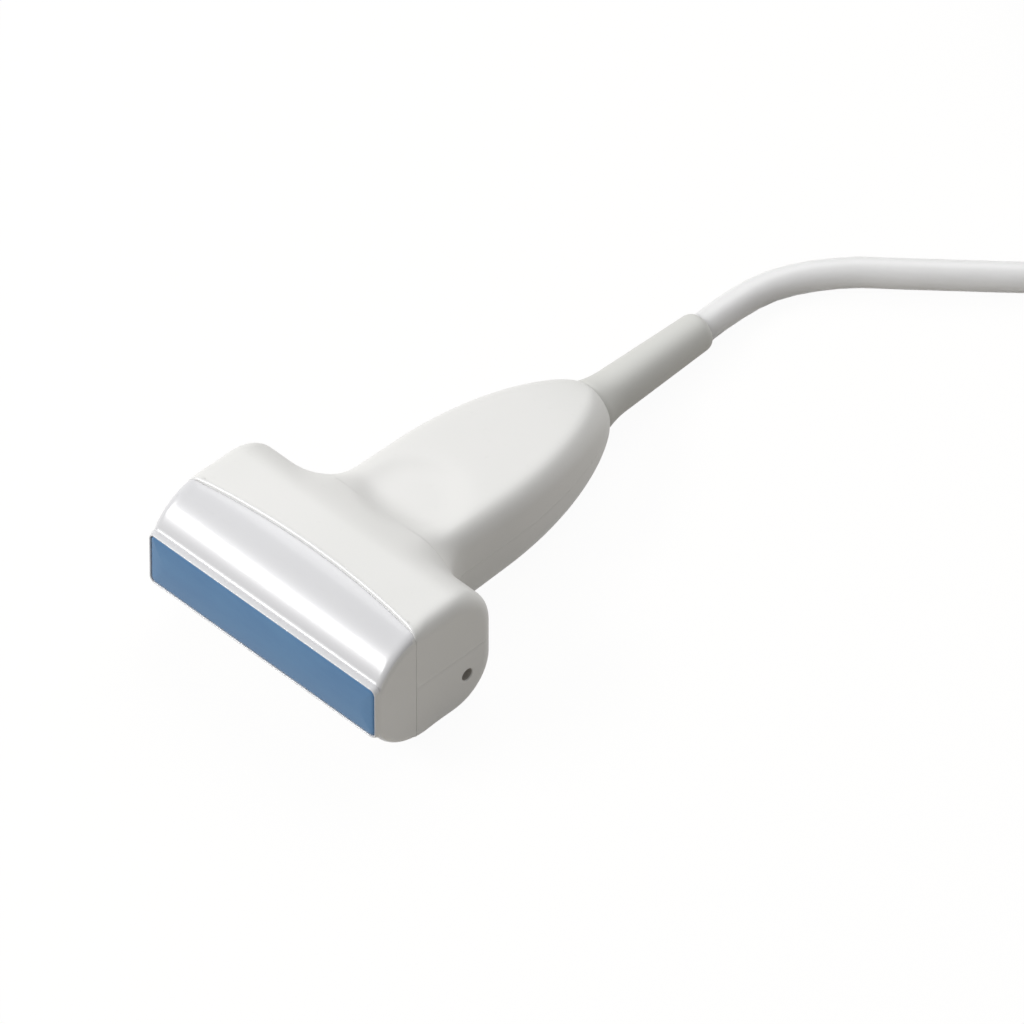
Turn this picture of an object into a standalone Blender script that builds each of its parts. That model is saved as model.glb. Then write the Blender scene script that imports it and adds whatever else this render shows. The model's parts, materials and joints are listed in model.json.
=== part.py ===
"""Linear-array ultrasound probe with its coiled cable and system connector, in metres with +Z up.

The probe is modelled in its own frame: X along the scanned width, Y from the lens back to the cable,
Z through the thickness, with the origin at the middle of the nose. Its head is thicker than its cable
end, so it lies on the head and on the tip of the strain relief, and an empty carries that tilt.
"""

import math

import bmesh
import bpy
import numpy as np
from mathutils import Matrix, Vector

# Fits
GAP = 0.0003
HOUSING_WALL = 0.0021

# Head
HEAD_WIDTH = 0.0640
HEAD_DEPTH = 0.0318
HEAD_THICKNESS = 0.0304
HEAD_REAR_RADIUS = 0.0110
HEAD_CREST_RADIUS = 0.0080
HEAD_EDGE_RADIUS = 0.0033
HEAD_EDGE_RUN = 0.0180
NOSE_THICKNESS = 0.0143
NOSE_SLOPE = math.radians(60.0)
NOSE_LENGTH = 0.0118
NOSE_SEAM_BOW = 0.0030
NOSE_FRONT_WALL = 0.0030
NOSE_EDGE_RADIUS = 0.0015
COLLAR_DEPTH = 0.0013
COLLAR_LIP = 0.00035

# Handle
HANDLE_LENGTH = 0.0899
HANDLE_ROOT_INSIDE = 0.0048
HANDLE_WIDTH = 0.0316
HANDLE_THICKNESS = 0.0212
HANDLE_EDGE_RADIUS = 0.0050
HANDLE_TAPER_START = 0.0520
HANDLE_BLEND = 0.0085
HANDLE_END_RADIUS = 0.0059
SCOOP_DEPTH = 0.0008
SCOOP_RADIUS = 0.0095
SCOOP_BEHIND_HEAD = 0.0082
GUIDE_HOLE_DIAMETER = 0.0034
GUIDE_HOLE_DEPTH = 0.0012
GUIDE_HOLE_BACK = 0.0240
GUIDE_HOLE_DROP = 0.0060

# Lens and array
LENS_THICKNESS = 0.0124
LENS_STANDS_PROUD = 0.0016
LENS_SIDE_MARGIN = 0.0008
LENS_CORNER_RADIUS = 0.0018
WINDOW_SIDE_MARGIN = 0.0030
WINDOW_THICKNESS = 0.0092
LENS_PLUG_DEPTH = 0.0025
MATCHING_THICKNESS = 0.0005
ARRAY_THICKNESS = 0.0012
ARRAY_ELEMENTS = 24
KERF_WIDTH = 0.0003
BACKING_DEPTH = 0.0080
BACKING_THICKNESS = 0.0066
CARRIER_WALL = 0.0010
CARRIER_DEPTH = 0.0120

# Electronics in the handle
FLEX_THICKNESS = 0.0003
FLEX_SIDE_MARGIN = 0.0040
BOARD_LENGTH = 0.0300
BOARD_SIDE_MARGIN = 0.0038
BOARD_THICKNESS = 0.0016
BOARD_BEHIND_HEAD = 0.0035
BOARD_CONNECTOR_DEPTH = 0.0050
BOARD_CONNECTOR_HEIGHT = 0.0022
SHIELD_HEIGHT = 0.0030
SHIELD_LENGTH = 0.0140
SHIELD_WALL = 0.0004

# Strain relief and cable
CABLE_DIAMETER = 0.0063
RELIEF_LENGTH = 0.0312
RELIEF_TIP_DIAMETER = 0.0083
RELIEF_STEM_DIAMETER = 0.0096
RELIEF_NECK_DIAMETER = 0.0080
RELIEF_FLANGE_DIAMETER = 0.0090
RELIEF_FLANGE_THICKNESS = 0.0022
CLAMP_LENGTH = 0.0060
CLAMP_THICKNESS = 0.0012
CLAMP_SCREW_DIAMETER = 0.0016
CLAMP_SCREW_BITE = 0.0024
JACKET_PAST_CLAMP = 0.0015
CORES_ON_BOARD = 0.0070
CORE_LAYER = 0.0010

# Coil, ties and connector
COIL_MEAN_DIAMETER = 0.0720
COIL_LAYERS = 3
COIL_FACETS = 40
COIL_OFFSET = (0.0200, 0.1540)
TIE_THICKNESS = 0.0009
LEAD_STARTS_AT = math.radians(95.0)
LEAD_CLIMB = math.radians(20.0)
LEAD_STRAIGHT = 0.0020
CONNECTOR_LENGTH = 0.0460
CONNECTOR_WIDTH = 0.0340
CONNECTOR_THICKNESS = 0.0164
CONNECTOR_WALL = 0.0018
CONNECTOR_CORNER_RADIUS = 0.0050
CONNECTOR_RELIEF_LENGTH = 0.0150
CONTACT_BLOCK_DEPTH = 0.0090
CONTACT_BLOCK_PROUD = 0.0040
CONNECTOR_BOARD_LENGTH = 0.0180
CONNECTOR_SCREW_DIAMETER = 0.0024
CONNECTOR_SCREW_HEAD = 0.0044
CONNECTOR_SCREW_INSET = 0.0050

# Sizes that follow from those above
HEAD_HALF = HEAD_THICKNESS / 2
HANDLE_ROOT = HEAD_DEPTH - HANDLE_ROOT_INSIDE
SCOOP_CENTRE = HEAD_DEPTH + SCOOP_BEHIND_HEAD
LENS_WIDTH = HEAD_WIDTH - 2 * LENS_SIDE_MARGIN
WINDOW_WIDTH = HEAD_WIDTH - 2 * WINDOW_SIDE_MARGIN
FLEX_WIDTH = WINDOW_WIDTH - 2 * FLEX_SIDE_MARGIN
BOARD_WIDTH = HANDLE_WIDTH - 2 * BOARD_SIDE_MARGIN
BOARD_FRONT = HEAD_DEPTH + BOARD_BEHIND_HEAD
CABLE_RADIUS = CABLE_DIAMETER / 2
BORE_RADIUS = CABLE_RADIUS + GAP
RELIEF_START = HANDLE_LENGTH + GAP
RELIEF_TIP = RELIEF_START + RELIEF_LENGTH
FLANGE_FRONT = HANDLE_LENGTH - HOUSING_WALL - GAP - RELIEF_FLANGE_THICKNESS
COIL_THICKNESS = COIL_LAYERS * CABLE_DIAMETER
COIL_OUTER = COIL_MEAN_DIAMETER / 2 + COIL_THICKNESS / 2
COIL_INNER = COIL_MEAN_DIAMETER / 2 - COIL_THICKNESS / 2
COIL_BASE = TIE_THICKNESS + GAP
COIL_TOP = COIL_BASE + COIL_THICKNESS
CONNECTOR_HEIGHT = COIL_TOP + TIE_THICKNESS + 2 * GAP + CONNECTOR_THICKNESS / 2
CONNECTOR_PLACE = Vector((-0.0010, -0.0140, CONNECTOR_HEIGHT))


def clear_scene():
    for item in list(bpy.data.objects):
        bpy.data.objects.remove(item)


def material(name, colour, roughness, metallic=0.0):
    """A plain surface from an sRGB colour written as six hexadecimal digits."""
    made = bpy.data.materials.new(name)
    made.use_nodes = True
    shader = made.node_tree.nodes["Principled BSDF"]
    parts = [int(colour[i : i + 2], 16) / 255 for i in (0, 2, 4)]
    linear = [c / 12.92 if c < 0.04045 else ((c + 0.055) / 1.055) ** 2.4 for c in parts]
    shader.inputs["Base Color"].default_value = (*linear, 1)
    shader.inputs["Roughness"].default_value = roughness
    shader.inputs["Metallic"].default_value = metallic
    made.diffuse_color = (*linear, 1)
    return made


def finish(mesh_edit, name, surface, parent=None, smooth=30):
    """Turns an edited mesh into a named object with outward faces and smooth rounds."""
    bmesh.ops.recalc_face_normals(mesh_edit, faces=mesh_edit.faces)
    mesh = bpy.data.meshes.new(name)
    mesh_edit.to_mesh(mesh)
    mesh_edit.free()
    mesh.shade_smooth()
    mesh.set_sharp_from_angle(angle=math.radians(smooth))
    mesh.materials.append(surface)
    made = bpy.data.objects.new(name, mesh)
    bpy.context.scene.collection.objects.link(made)
    made.parent = parent
    return made


def loft(sections, closed=False):
    """A skin through equal loops of points, capped at both ends unless it closes on itself."""
    edit = bmesh.new()
    loops = [[edit.verts.new(point) for point in section] for section in sections]
    pairs = list(zip(loops, loops[1:]))
    if closed:
        pairs.append((loops[-1], loops[0]))
    for a, b in pairs:
        for i in range(len(a)):
            j = (i + 1) % len(a)
            edit.faces.new((a[i], a[j], b[j], b[i]))
    if not closed:
        edit.faces.new(loops[0])
        edit.faces.new(reversed(loops[-1]))
    bmesh.ops.remove_doubles(edit, verts=edit.verts, dist=0.000005)
    bmesh.ops.triangulate(edit, faces=edit.faces)
    return edit


def turned(profile, steps, centre=(0, 0, 0), axis="Y"):
    """A closed profile of (radius, along) points turned once round an axis through the centre."""
    sections = []
    for i in range(steps):
        angle = 2 * math.pi * i / steps
        c, s = math.cos(angle), math.sin(angle)
        if axis == "Y":
            ring = [Vector((r * c, along, r * s)) for r, along in profile]
        else:
            ring = [Vector((r * c, r * s, along)) for r, along in profile]
        sections.append([point + Vector(centre) for point in ring])
    return loft(sections, closed=True)


def rounded_outline(half_width, half_height, radius, segments=4):
    """Points round a rectangle with round corners, as (across, up) pairs."""
    radius = min(radius, half_width, half_height)
    points = []
    for corner, (sx, sz) in enumerate(((1, 1), (-1, 1), (-1, -1), (1, -1))):
        for i in range(segments + 1):
            angle = math.pi / 2 * (corner + i / segments)
            x = sx * (half_width - radius) + radius * math.cos(angle)
            z = sz * (half_height - radius) + radius * math.sin(angle)
            points.append((x, z))
    return points


def block(low, high, bevel=0.0, segments=2):
    """A box between two corners, its edges rounded by the bevel."""
    edit = bmesh.new()
    bmesh.ops.create_cube(edit, size=1)
    size = [b - a for a, b in zip(low, high)]
    middle = [(a + b) / 2 for a, b in zip(low, high)]
    bmesh.ops.scale(edit, vec=size, verts=edit.verts)
    bmesh.ops.translate(edit, vec=middle, verts=edit.verts)
    if bevel:
        bmesh.ops.bevel(
            edit,
            geom=edit.edges[:],
            offset=bevel,
            segments=segments,
            profile=0.5,
            affect="EDGES",
        )
    return edit


def cut(target, edit, operation="DIFFERENCE"):
    """Cuts the target by an edited mesh, or joins or keeps what they share, and applies it."""
    bmesh.ops.recalc_face_normals(edit, faces=edit.faces)
    mesh = bpy.data.meshes.new("tool")
    edit.to_mesh(mesh)
    edit.free()
    tool = bpy.data.objects.new("tool", mesh)
    bpy.context.scene.collection.objects.link(tool)
    bpy.context.view_layer.update()
    tool.matrix_world = target.matrix_world
    modifier = target.modifiers.new(operation.title(), "BOOLEAN")
    modifier.operation = operation
    modifier.solver = "EXACT"
    modifier.object = tool
    bpy.context.view_layer.update()
    graph = bpy.context.evaluated_depsgraph_get()
    made = bpy.data.meshes.new_from_object(target.evaluated_get(graph))
    target.modifiers.clear()
    target.data = made
    bpy.data.objects.remove(tool)


# The outer form: distances that are zero on the surface and negative inside.


def round_corner(a, b, radius):
    """Meets two faces in a round edge, from the distances outside each."""
    outside = np.hypot(np.maximum(a + radius, 0), np.maximum(b + radius, 0))
    return outside + np.minimum(np.maximum(a, b) + radius, 0) - radius


def head_form(x, y, z):
    """A wedge that rises from the nose to the crest and rounds over at the rear, cut off flat at its ends."""
    rise = (np.abs(z) - NOSE_THICKNESS / 2) * math.cos(NOSE_SLOPE) - y * math.sin(NOSE_SLOPE)
    back = round_corner(np.abs(z) - HEAD_HALF, y - HEAD_DEPTH, HEAD_REAR_RADIUS)
    profile = round_corner(rise, back, HEAD_CREST_RADIUS)
    grown = np.clip(y / HEAD_EDGE_RUN, 0, 1)
    edge = NOSE_EDGE_RADIUS + (HEAD_EDGE_RADIUS - NOSE_EDGE_RADIUS) * grown**2 * (3 - 2 * grown)
    return round_corner(profile, np.abs(x) - HEAD_WIDTH / 2, edge)


def handle_size(y):
    """Half width, half thickness and edge radius of the handle at a distance behind the nose."""
    along = np.clip((y - HANDLE_TAPER_START) / (HANDLE_LENGTH - HANDLE_TAPER_START), 0, 1)
    run = np.clip((y - HANDLE_ROOT) / (HANDLE_LENGTH - HANDLE_ROOT), 0, 1)
    width = (HANDLE_WIDTH / 2 - HANDLE_END_RADIUS) * (1 - along**2) ** 0.8
    height = (HANDLE_THICKNESS / 2 - HANDLE_END_RADIUS) * (1 - run**1.2) ** 0.5
    edge = HANDLE_EDGE_RADIUS + (HANDLE_END_RADIUS - HANDLE_EDGE_RADIUS) * along**4
    return HANDLE_END_RADIUS + width, HANDLE_END_RADIUS + height, edge


def handle_form(x, y, z):
    width, height, edge = handle_size(y)
    section = round_corner(np.abs(x) - width, np.abs(z) - height, edge)
    return round_corner(section, HANDLE_ROOT - y, HANDLE_EDGE_RADIUS)


def housing_form(x, y, z):
    """The head and handle flowing into each other, with a shallow scoop for the thumb on each face."""
    head, handle = head_form(x, y, z), handle_form(x, y, z)
    overlap = np.maximum(HANDLE_BLEND - np.abs(head - handle), 0) / HANDLE_BLEND
    blended = np.minimum(head, handle) - HANDLE_BLEND / 4 * overlap**2
    reach = np.hypot(x, y - SCOOP_CENTRE) / SCOOP_RADIUS
    return blended + SCOOP_DEPTH * np.exp(-(reach**4))


def reach_surface(base, direction, y, inset):
    """How far a ray in the section at y travels from inside before it meets the inset surface."""
    low = np.zeros(len(base))
    high = np.full(len(base), HEAD_WIDTH)
    for _ in range(36):
        middle = (low + high) / 2
        point = base + direction * middle[:, None]
        inside = housing_form(point[:, 0], y, point[:, 1]) + inset < 0
        low = np.where(inside, middle, low)
        high = np.where(inside, high, middle)
    return base + direction * low[:, None]


FAN_ANGLES = np.radians([0, 22, 36, 45, 54, 66, 78])
FLAT_SHARES = np.array([1, 0.75, 0.5, 0.25])


def housing_section(y, inset=0.0):
    """A closed loop round the housing at y, with points fanned closely round its edges."""
    right = reach_surface(np.zeros((1, 2)), np.array([[1.0, 0.0]]), y, inset)[0, 0]
    top = reach_surface(np.zeros((1, 2)), np.array([[0.0, 1.0]]), y, inset)[0, 1]
    pivot = right - min(top, 0.9 * right)
    fan = np.stack([np.cos(FAN_ANGLES), np.sin(FAN_ANGLES)], axis=1)
    base = np.array([[pivot, 0.0]] * len(fan) + [[pivot * share, 0.0] for share in FLAT_SHARES])
    direction = np.concatenate([fan, [[0.0, 1.0]] * len(FLAT_SHARES)])
    quarter = [tuple(point) for point in reach_surface(base, direction, y, inset)]
    half = quarter + [(0.0, top)] + [(-x, z) for x, z in reversed(quarter)]
    loop = half + [(x, -z) for x, z in reversed(half[1:-1])]
    return [(x, y, z) for x, z in loop]


def resting_tilt():
    """The angle at which the head's belly and the relief's tip touch one plane."""
    tail = (RELIEF_TIP, RELIEF_TIP_DIAMETER / 2)
    up = np.array([[0.0, 1.0]])
    belly = []
    for y in np.linspace(NOSE_LENGTH, HEAD_DEPTH - GAP, 40):
        belly.append((y, reach_surface(np.array([[HEAD_WIDTH / 4, 0.0]]), up, y, 0.0)[0, 1]))
    low, high = 0.0, 0.5
    for _ in range(40):
        tilt = (low + high) / 2
        s, c = math.sin(tilt), math.cos(tilt)
        head_reach = max(y * s + z * c for y, z in belly)
        if head_reach > tail[0] * s + tail[1] * c:
            low = tilt
        else:
            high = tilt
    return low


# Probe


def housing_shell(name, surface, probe):
    """The whole moulded wall of the head and handle, open at the window and at the cable end."""
    stations = [GAP, 0.4 * NOSE_LENGTH, 0.8 * NOSE_LENGTH]
    stations += list(np.linspace(NOSE_LENGTH, HEAD_DEPTH - 0.0055, 7))
    stations += list(HEAD_DEPTH - np.array([0.0042, 0.0030, 0.0019, 0.0010, 0.0003]))
    stations += list(HEAD_DEPTH + np.array([0.0004, 0.0012, 0.0024, 0.0040, 0.0062, 0.0090]))
    stations += list(np.linspace(HEAD_DEPTH + 0.0130, HANDLE_LENGTH - 0.0090, 8))
    stations += list(HANDLE_LENGTH - np.array([0.0060, 0.0035, 0.0016, 0.0005, 0.0]))
    outer = [housing_section(y) for y in stations]
    rear = HANDLE_LENGTH - HOUSING_WALL
    front = NOSE_FRONT_WALL + GAP
    inside = [front, 0.5 * (front + NOSE_LENGTH)]
    inside += list(np.linspace(NOSE_LENGTH, HEAD_DEPTH - 0.0060, 4))
    inside += list(HEAD_DEPTH + np.array([-0.0038, -0.0025, -0.0008, 0.0010, 0.0040, 0.0090]))
    inside += list(np.linspace(HEAD_DEPTH + 0.0150, rear, 6))
    inner = [housing_section(y, HOUSING_WALL) for y in inside]
    shell = finish(loft(outer), name, surface, probe)
    cut(shell, loft(inner))
    window = rounded_outline(WINDOW_WIDTH / 2, WINDOW_THICKNESS / 2, LENS_CORNER_RADIUS)
    depths = (-LENS_PLUG_DEPTH, front + GAP)
    cut(shell, loft([[(x, y, z) for x, z in window] for y in depths]))
    exit_radius = RELIEF_NECK_DIAMETER / 2 + GAP
    bore = [(x, z) for x, z in rounded_outline(exit_radius, exit_radius, exit_radius, 5)]
    cut(shell, loft([[(x, y, z) for x, z in bore] for y in (rear - GAP, RELIEF_START)]))
    return shell


def nose_prism(clearance):
    """The space in front of the bowed seam, in plan, through the whole thickness."""
    steps = 16
    reach = HEAD_WIDTH / 2 + 0.005
    seam = []
    for i in range(steps + 1):
        across = -1 + 2 * i / steps
        bow = NOSE_SEAM_BOW * (1 - across**2)
        seam.append((across * reach, NOSE_LENGTH + bow + clearance))
    outline = [(-reach, -0.01)] + seam + [(reach, -0.01)]
    return loft([[(x, y, z) for x, y in outline] for z in (-HEAD_THICKNESS, HEAD_THICKNESS)])


def half_space(side):
    """Everything above or below the parting plane, clear of it by half the gap."""
    near, far = side * GAP / 2, side * HEAD_THICKNESS
    low, high = sorted((near, far))
    return block((-HEAD_WIDTH, -0.01, low), (HEAD_WIDTH, HANDLE_LENGTH + 0.01, high))


def inside_height(y, x=0.0):
    """Half height of the cavity at a place in plan."""
    top = reach_surface(np.array([[x, 0.0]]), np.array([[0.0, 1.0]]), y, HOUSING_WALL)
    return top[0, 1]


def support_rib(y_front, thickness, width, top):
    """A rib that stands on the lower wall and ends at a given height."""
    floor = -inside_height(y_front + thickness / 2, width / 2) - HOUSING_WALL / 2
    return block((-width / 2, y_front, floor), (width / 2, y_front + thickness, top))


def guide_hole(side):
    """The round dimple in a flat end of the head."""
    radius = GUIDE_HOLE_DIAMETER / 2
    ring = rounded_outline(radius, radius, radius, 5)
    face = side * HEAD_WIDTH / 2
    sections = []
    for x in (face - side * GUIDE_HOLE_DEPTH, face + side * GUIDE_HOLE_DEPTH):
        sections.append([(x, GUIDE_HOLE_BACK + a, -GUIDE_HOLE_DROP + b) for a, b in ring])
    return loft(sections)


def clamp_back():
    return FLANGE_FRONT - GAP - 0.0015


def lens_collar():
    """A thin frame that stands forward from the nose round the lens and narrows to a lip."""
    pocket = (LENS_WIDTH / 2 + GAP, LENS_THICKNESS / 2 + GAP)
    lip = (pocket[0] + COLLAR_LIP, pocket[1] + COLLAR_LIP)
    root = (HEAD_WIDTH / 2 - 0.0001, NOSE_THICKNESS / 2 - 0.0001)
    stages = (
        (pocket, NOSE_FRONT_WALL / 3),
        (root, NOSE_FRONT_WALL / 3),
        (root, 0.0),
        (lip, -COLLAR_DEPTH),
        (pocket, -COLLAR_DEPTH),
    )
    loops = []
    for (half_width, half_height), y in stages:
        outline = rounded_outline(half_width, half_height, NOSE_EDGE_RADIUS)
        loops.append([(x, y, z) for x, z in outline])
    return loft(loops, closed=True)


def build_housing(probe):
    satin = material("satin_housing", "E4E4E2", 0.45)
    gloss = material("gloss_nose", "ECECEC", 0.12)
    nose = housing_shell("nose_piece", gloss, probe)
    cut(nose, nose_prism(0.0), "INTERSECT")
    cut(nose, lens_collar(), "UNION")
    upper = housing_shell("upper_housing", satin, probe)
    cut(upper, nose_prism(GAP))
    lower = upper.copy()
    lower.data = upper.data.copy()
    lower.name = "lower_housing"
    bpy.context.scene.collection.objects.link(lower)
    cut(upper, half_space(1), "INTERSECT")
    cut(lower, half_space(-1), "INTERSECT")
    for side in (-1, 1):
        cut(lower, guide_hole(side))
    under_board = -BOARD_THICKNESS / 2 - GAP
    behind_connector = BOARD_FRONT + BOARD_CONNECTOR_DEPTH + 0.002
    for y in (behind_connector, BOARD_FRONT + BOARD_LENGTH - 0.005):
        cut(lower, support_rib(y, 0.0014, 0.6 * BOARD_WIDTH, under_board), "UNION")
    under_cable = -CABLE_RADIUS - GAP
    start = clamp_back() - CLAMP_LENGTH
    cut(lower, support_rib(start, CLAMP_LENGTH, 0.0140, under_cable), "UNION")
    for side in (-1, 1):
        cut(lower, clamp_screw_body(side, GAP / 2, under_cable - 0.0030))


def build_lens(probe):
    silicone = material("blue_silicone", "6080A0", 0.35)
    width, height = LENS_WIDTH / 2, LENS_THICKNESS / 2
    dome = ((0.0, 0.0), (0.45, 0.0), (0.75, 0.15), (0.92, 0.45), (1.0, 1.1), (1.08, 3.0))
    sections = []
    for share, inset in reversed(dome):
        back = -share * LENS_STANDS_PROUD
        margin = inset * 0.001
        outline = rounded_outline(width - margin, height - margin, LENS_CORNER_RADIUS)
        sections.append([(x, back, z) for x, z in outline])
    plug = rounded_outline(
        WINDOW_WIDTH / 2 - GAP, WINDOW_THICKNESS / 2 - GAP, LENS_CORNER_RADIUS
    )
    for depth in (0.0, LENS_PLUG_DEPTH):
        sections.append([(x, depth, z) for x, z in plug])
    finish(loft(sections), "acoustic_lens", silicone, probe)


def build_array(probe):
    """The stack behind the lens: two matching layers, the diced ceramic and its backing, in a carrier."""
    half_width = WINDOW_WIDTH / 2 - 2 * GAP - CARRIER_WALL
    half_height = BACKING_THICKNESS / 2
    layers = (
        ("outer_matching_layer", MATCHING_THICKNESS, material("filled_epoxy", "7A6A55", 0.6)),
        ("inner_matching_layer", MATCHING_THICKNESS, material("graphite", "3B3B3D", 0.5)),
    )
    y = LENS_PLUG_DEPTH + GAP
    for name, thickness, surface in layers:
        low, high = (-half_width, y, -half_height), (half_width, y + thickness, half_height)
        finish(block(low, high), name, surface, probe)
        y += thickness + GAP
    ceramic = material("piezo_ceramic", "B9A98A", 0.4)
    pitch = 2 * half_width / ARRAY_ELEMENTS
    base = ARRAY_THICKNESS * 0.35
    outline = [(-half_width, y + ARRAY_THICKNESS)]
    for i in range(ARRAY_ELEMENTS):
        left = -half_width + i * pitch + (KERF_WIDTH / 2 if i else 0)
        right = -half_width + (i + 1) * pitch - (KERF_WIDTH / 2 if i < ARRAY_ELEMENTS - 1 else 0)
        kerf_floor = y + ARRAY_THICKNESS - base
        outline += [(left, y)] if i == 0 else [(left, kerf_floor), (left, y)]
        outline += [(right, y)] if i == ARRAY_ELEMENTS - 1 else [(right, y), (right, kerf_floor)]
    outline.append((half_width, y + ARRAY_THICKNESS))
    sections = [[(x, along, z) for x, along in outline] for z in (-half_height, half_height)]
    finish(loft(sections), "piezo_array", ceramic, probe)
    y += ARRAY_THICKNESS + GAP
    absorber = material("loaded_epoxy", "2E2F33", 0.7)
    low, high = (-half_width, y, -half_height), (half_width, y + BACKING_DEPTH, half_height)
    finish(block(low, high, 0.0004, 1), "backing_block", absorber, probe)
    inner = rounded_outline(half_width + GAP, half_height + 4 * GAP, 0.0003, 1)
    outer = rounded_outline(
        half_width + GAP + CARRIER_WALL, half_height + 4 * GAP + CARRIER_WALL, 0.0008, 1
    )
    front = NOSE_FRONT_WALL + 2 * GAP
    rear = front + CARRIER_DEPTH
    loops = ((outer, front), (outer, rear), (inner, rear), (inner, front))
    carrier = loft([[(x, y, z) for x, z in loop] for loop, y in loops], closed=True)
    finish(carrier, "array_carrier", material("carrier_resin", "C9C4B4", 0.5), probe)


def build_flex(probe):
    """A flexible circuit on each face of the backing, drawn together into its board connector."""
    polyimide = material("polyimide", "B4742A", 0.35)
    plastic = material("connector_resin", "E2DDD0", 0.5)
    start = NOSE_FRONT_WALL + 0.0035
    lift = BACKING_THICKNESS / 2 + 2 * GAP
    board_top = BOARD_THICKNESS / 2 + GAP
    end_height = board_top + BOARD_CONNECTOR_HEIGHT / 2
    end = BOARD_FRONT + 0.0012
    half_end = BOARD_WIDTH / 2 - 0.0022
    for side, place in ((1, "upper"), (-1, "lower")):
        sections = []
        for i in range(13):
            share = i / 12
            y = start + (end - start) * share
            ease = max(0.0, min(1.0, (share - 0.45) / 0.45))
            ease = ease * ease * (3 - 2 * ease)
            half = FLEX_WIDTH / 2 + (half_end - FLEX_WIDTH / 2) * ease
            height = lift + (end_height - lift) * ease
            low, high = height - FLEX_THICKNESS / 2, height + FLEX_THICKNESS / 2
            corners = ((half, high), (-half, high), (-half, low), (half, low))
            sections.append([(x, y, side * z) for x, z in corners])
        finish(loft(sections), f"{place}_flex_circuit", polyimide, probe)
        floor, roof = board_top, board_top + BOARD_CONNECTOR_HEIGHT
        slot = FLEX_THICKNESS / 2 + GAP
        near, far = end - 0.0012, end - 0.0012 + BOARD_CONNECTOR_DEPTH
        profile = (
            (near, floor),
            (far, floor),
            (far, roof),
            (near, roof),
            (near, end_height + slot),
            (end + GAP, end_height + slot),
            (end + GAP, end_height - slot),
            (near, end_height - slot),
        )
        half = BOARD_WIDTH / 2 - 0.0010
        loops = [[(x, y, side * z) for y, z in profile] for x in (-half, half)]
        finish(loft(loops), f"{place}_board_connector", plastic, probe)


def build_board(probe):
    laminate = material("circuit_board", "1F5B3A", 0.45)
    steel = material("tinned_steel", "B8BCC0", 0.3, 1.0)
    half = BOARD_THICKNESS / 2
    low = (-BOARD_WIDTH / 2, BOARD_FRONT, -half)
    high = (BOARD_WIDTH / 2, BOARD_FRONT + BOARD_LENGTH, half)
    finish(block(low, high), "interconnect_board", laminate, probe)
    near = BOARD_FRONT + BOARD_CONNECTOR_DEPTH + 0.0012
    low = (-BOARD_WIDTH / 2 + 0.002, near, half + GAP)
    high = (BOARD_WIDTH / 2 - 0.002, near + SHIELD_LENGTH, half + GAP + SHIELD_HEIGHT)
    can = finish(block(low, high, 0.0005, 2), "shield_can", steel, probe)
    inner_low = [value + SHIELD_WALL for value in low]
    inner_high = [value - SHIELD_WALL for value in high]
    inner_low[2] = low[2] - SHIELD_WALL
    cut(can, block(inner_low, inner_high))


def clamp_screw_body(side, clearance, bottom):
    """A clamp screw's shank and head as one turned form, larger by the clearance."""
    radius = CLAMP_SCREW_DIAMETER / 2 + clearance
    head = CLAMP_SCREW_DIAMETER * 0.95 + clearance
    top = CLAMP_THICKNESS / 2 + GAP
    tall = top + CLAMP_SCREW_DIAMETER * 0.6
    profile = ((0.0, bottom), (radius, bottom), (radius, top), (head, top), (head, tall), (0.0, tall))
    place = (side * clamp_ear(), clamp_back() - CLAMP_LENGTH / 2, 0)
    edit = turned(profile, 12, place, axis="Z")
    bmesh.ops.remove_doubles(edit, verts=edit.verts, dist=0.00001)
    return edit


def clamp_ear():
    return CABLE_RADIUS + CLAMP_THICKNESS + CLAMP_SCREW_DIAMETER * 0.75


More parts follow.
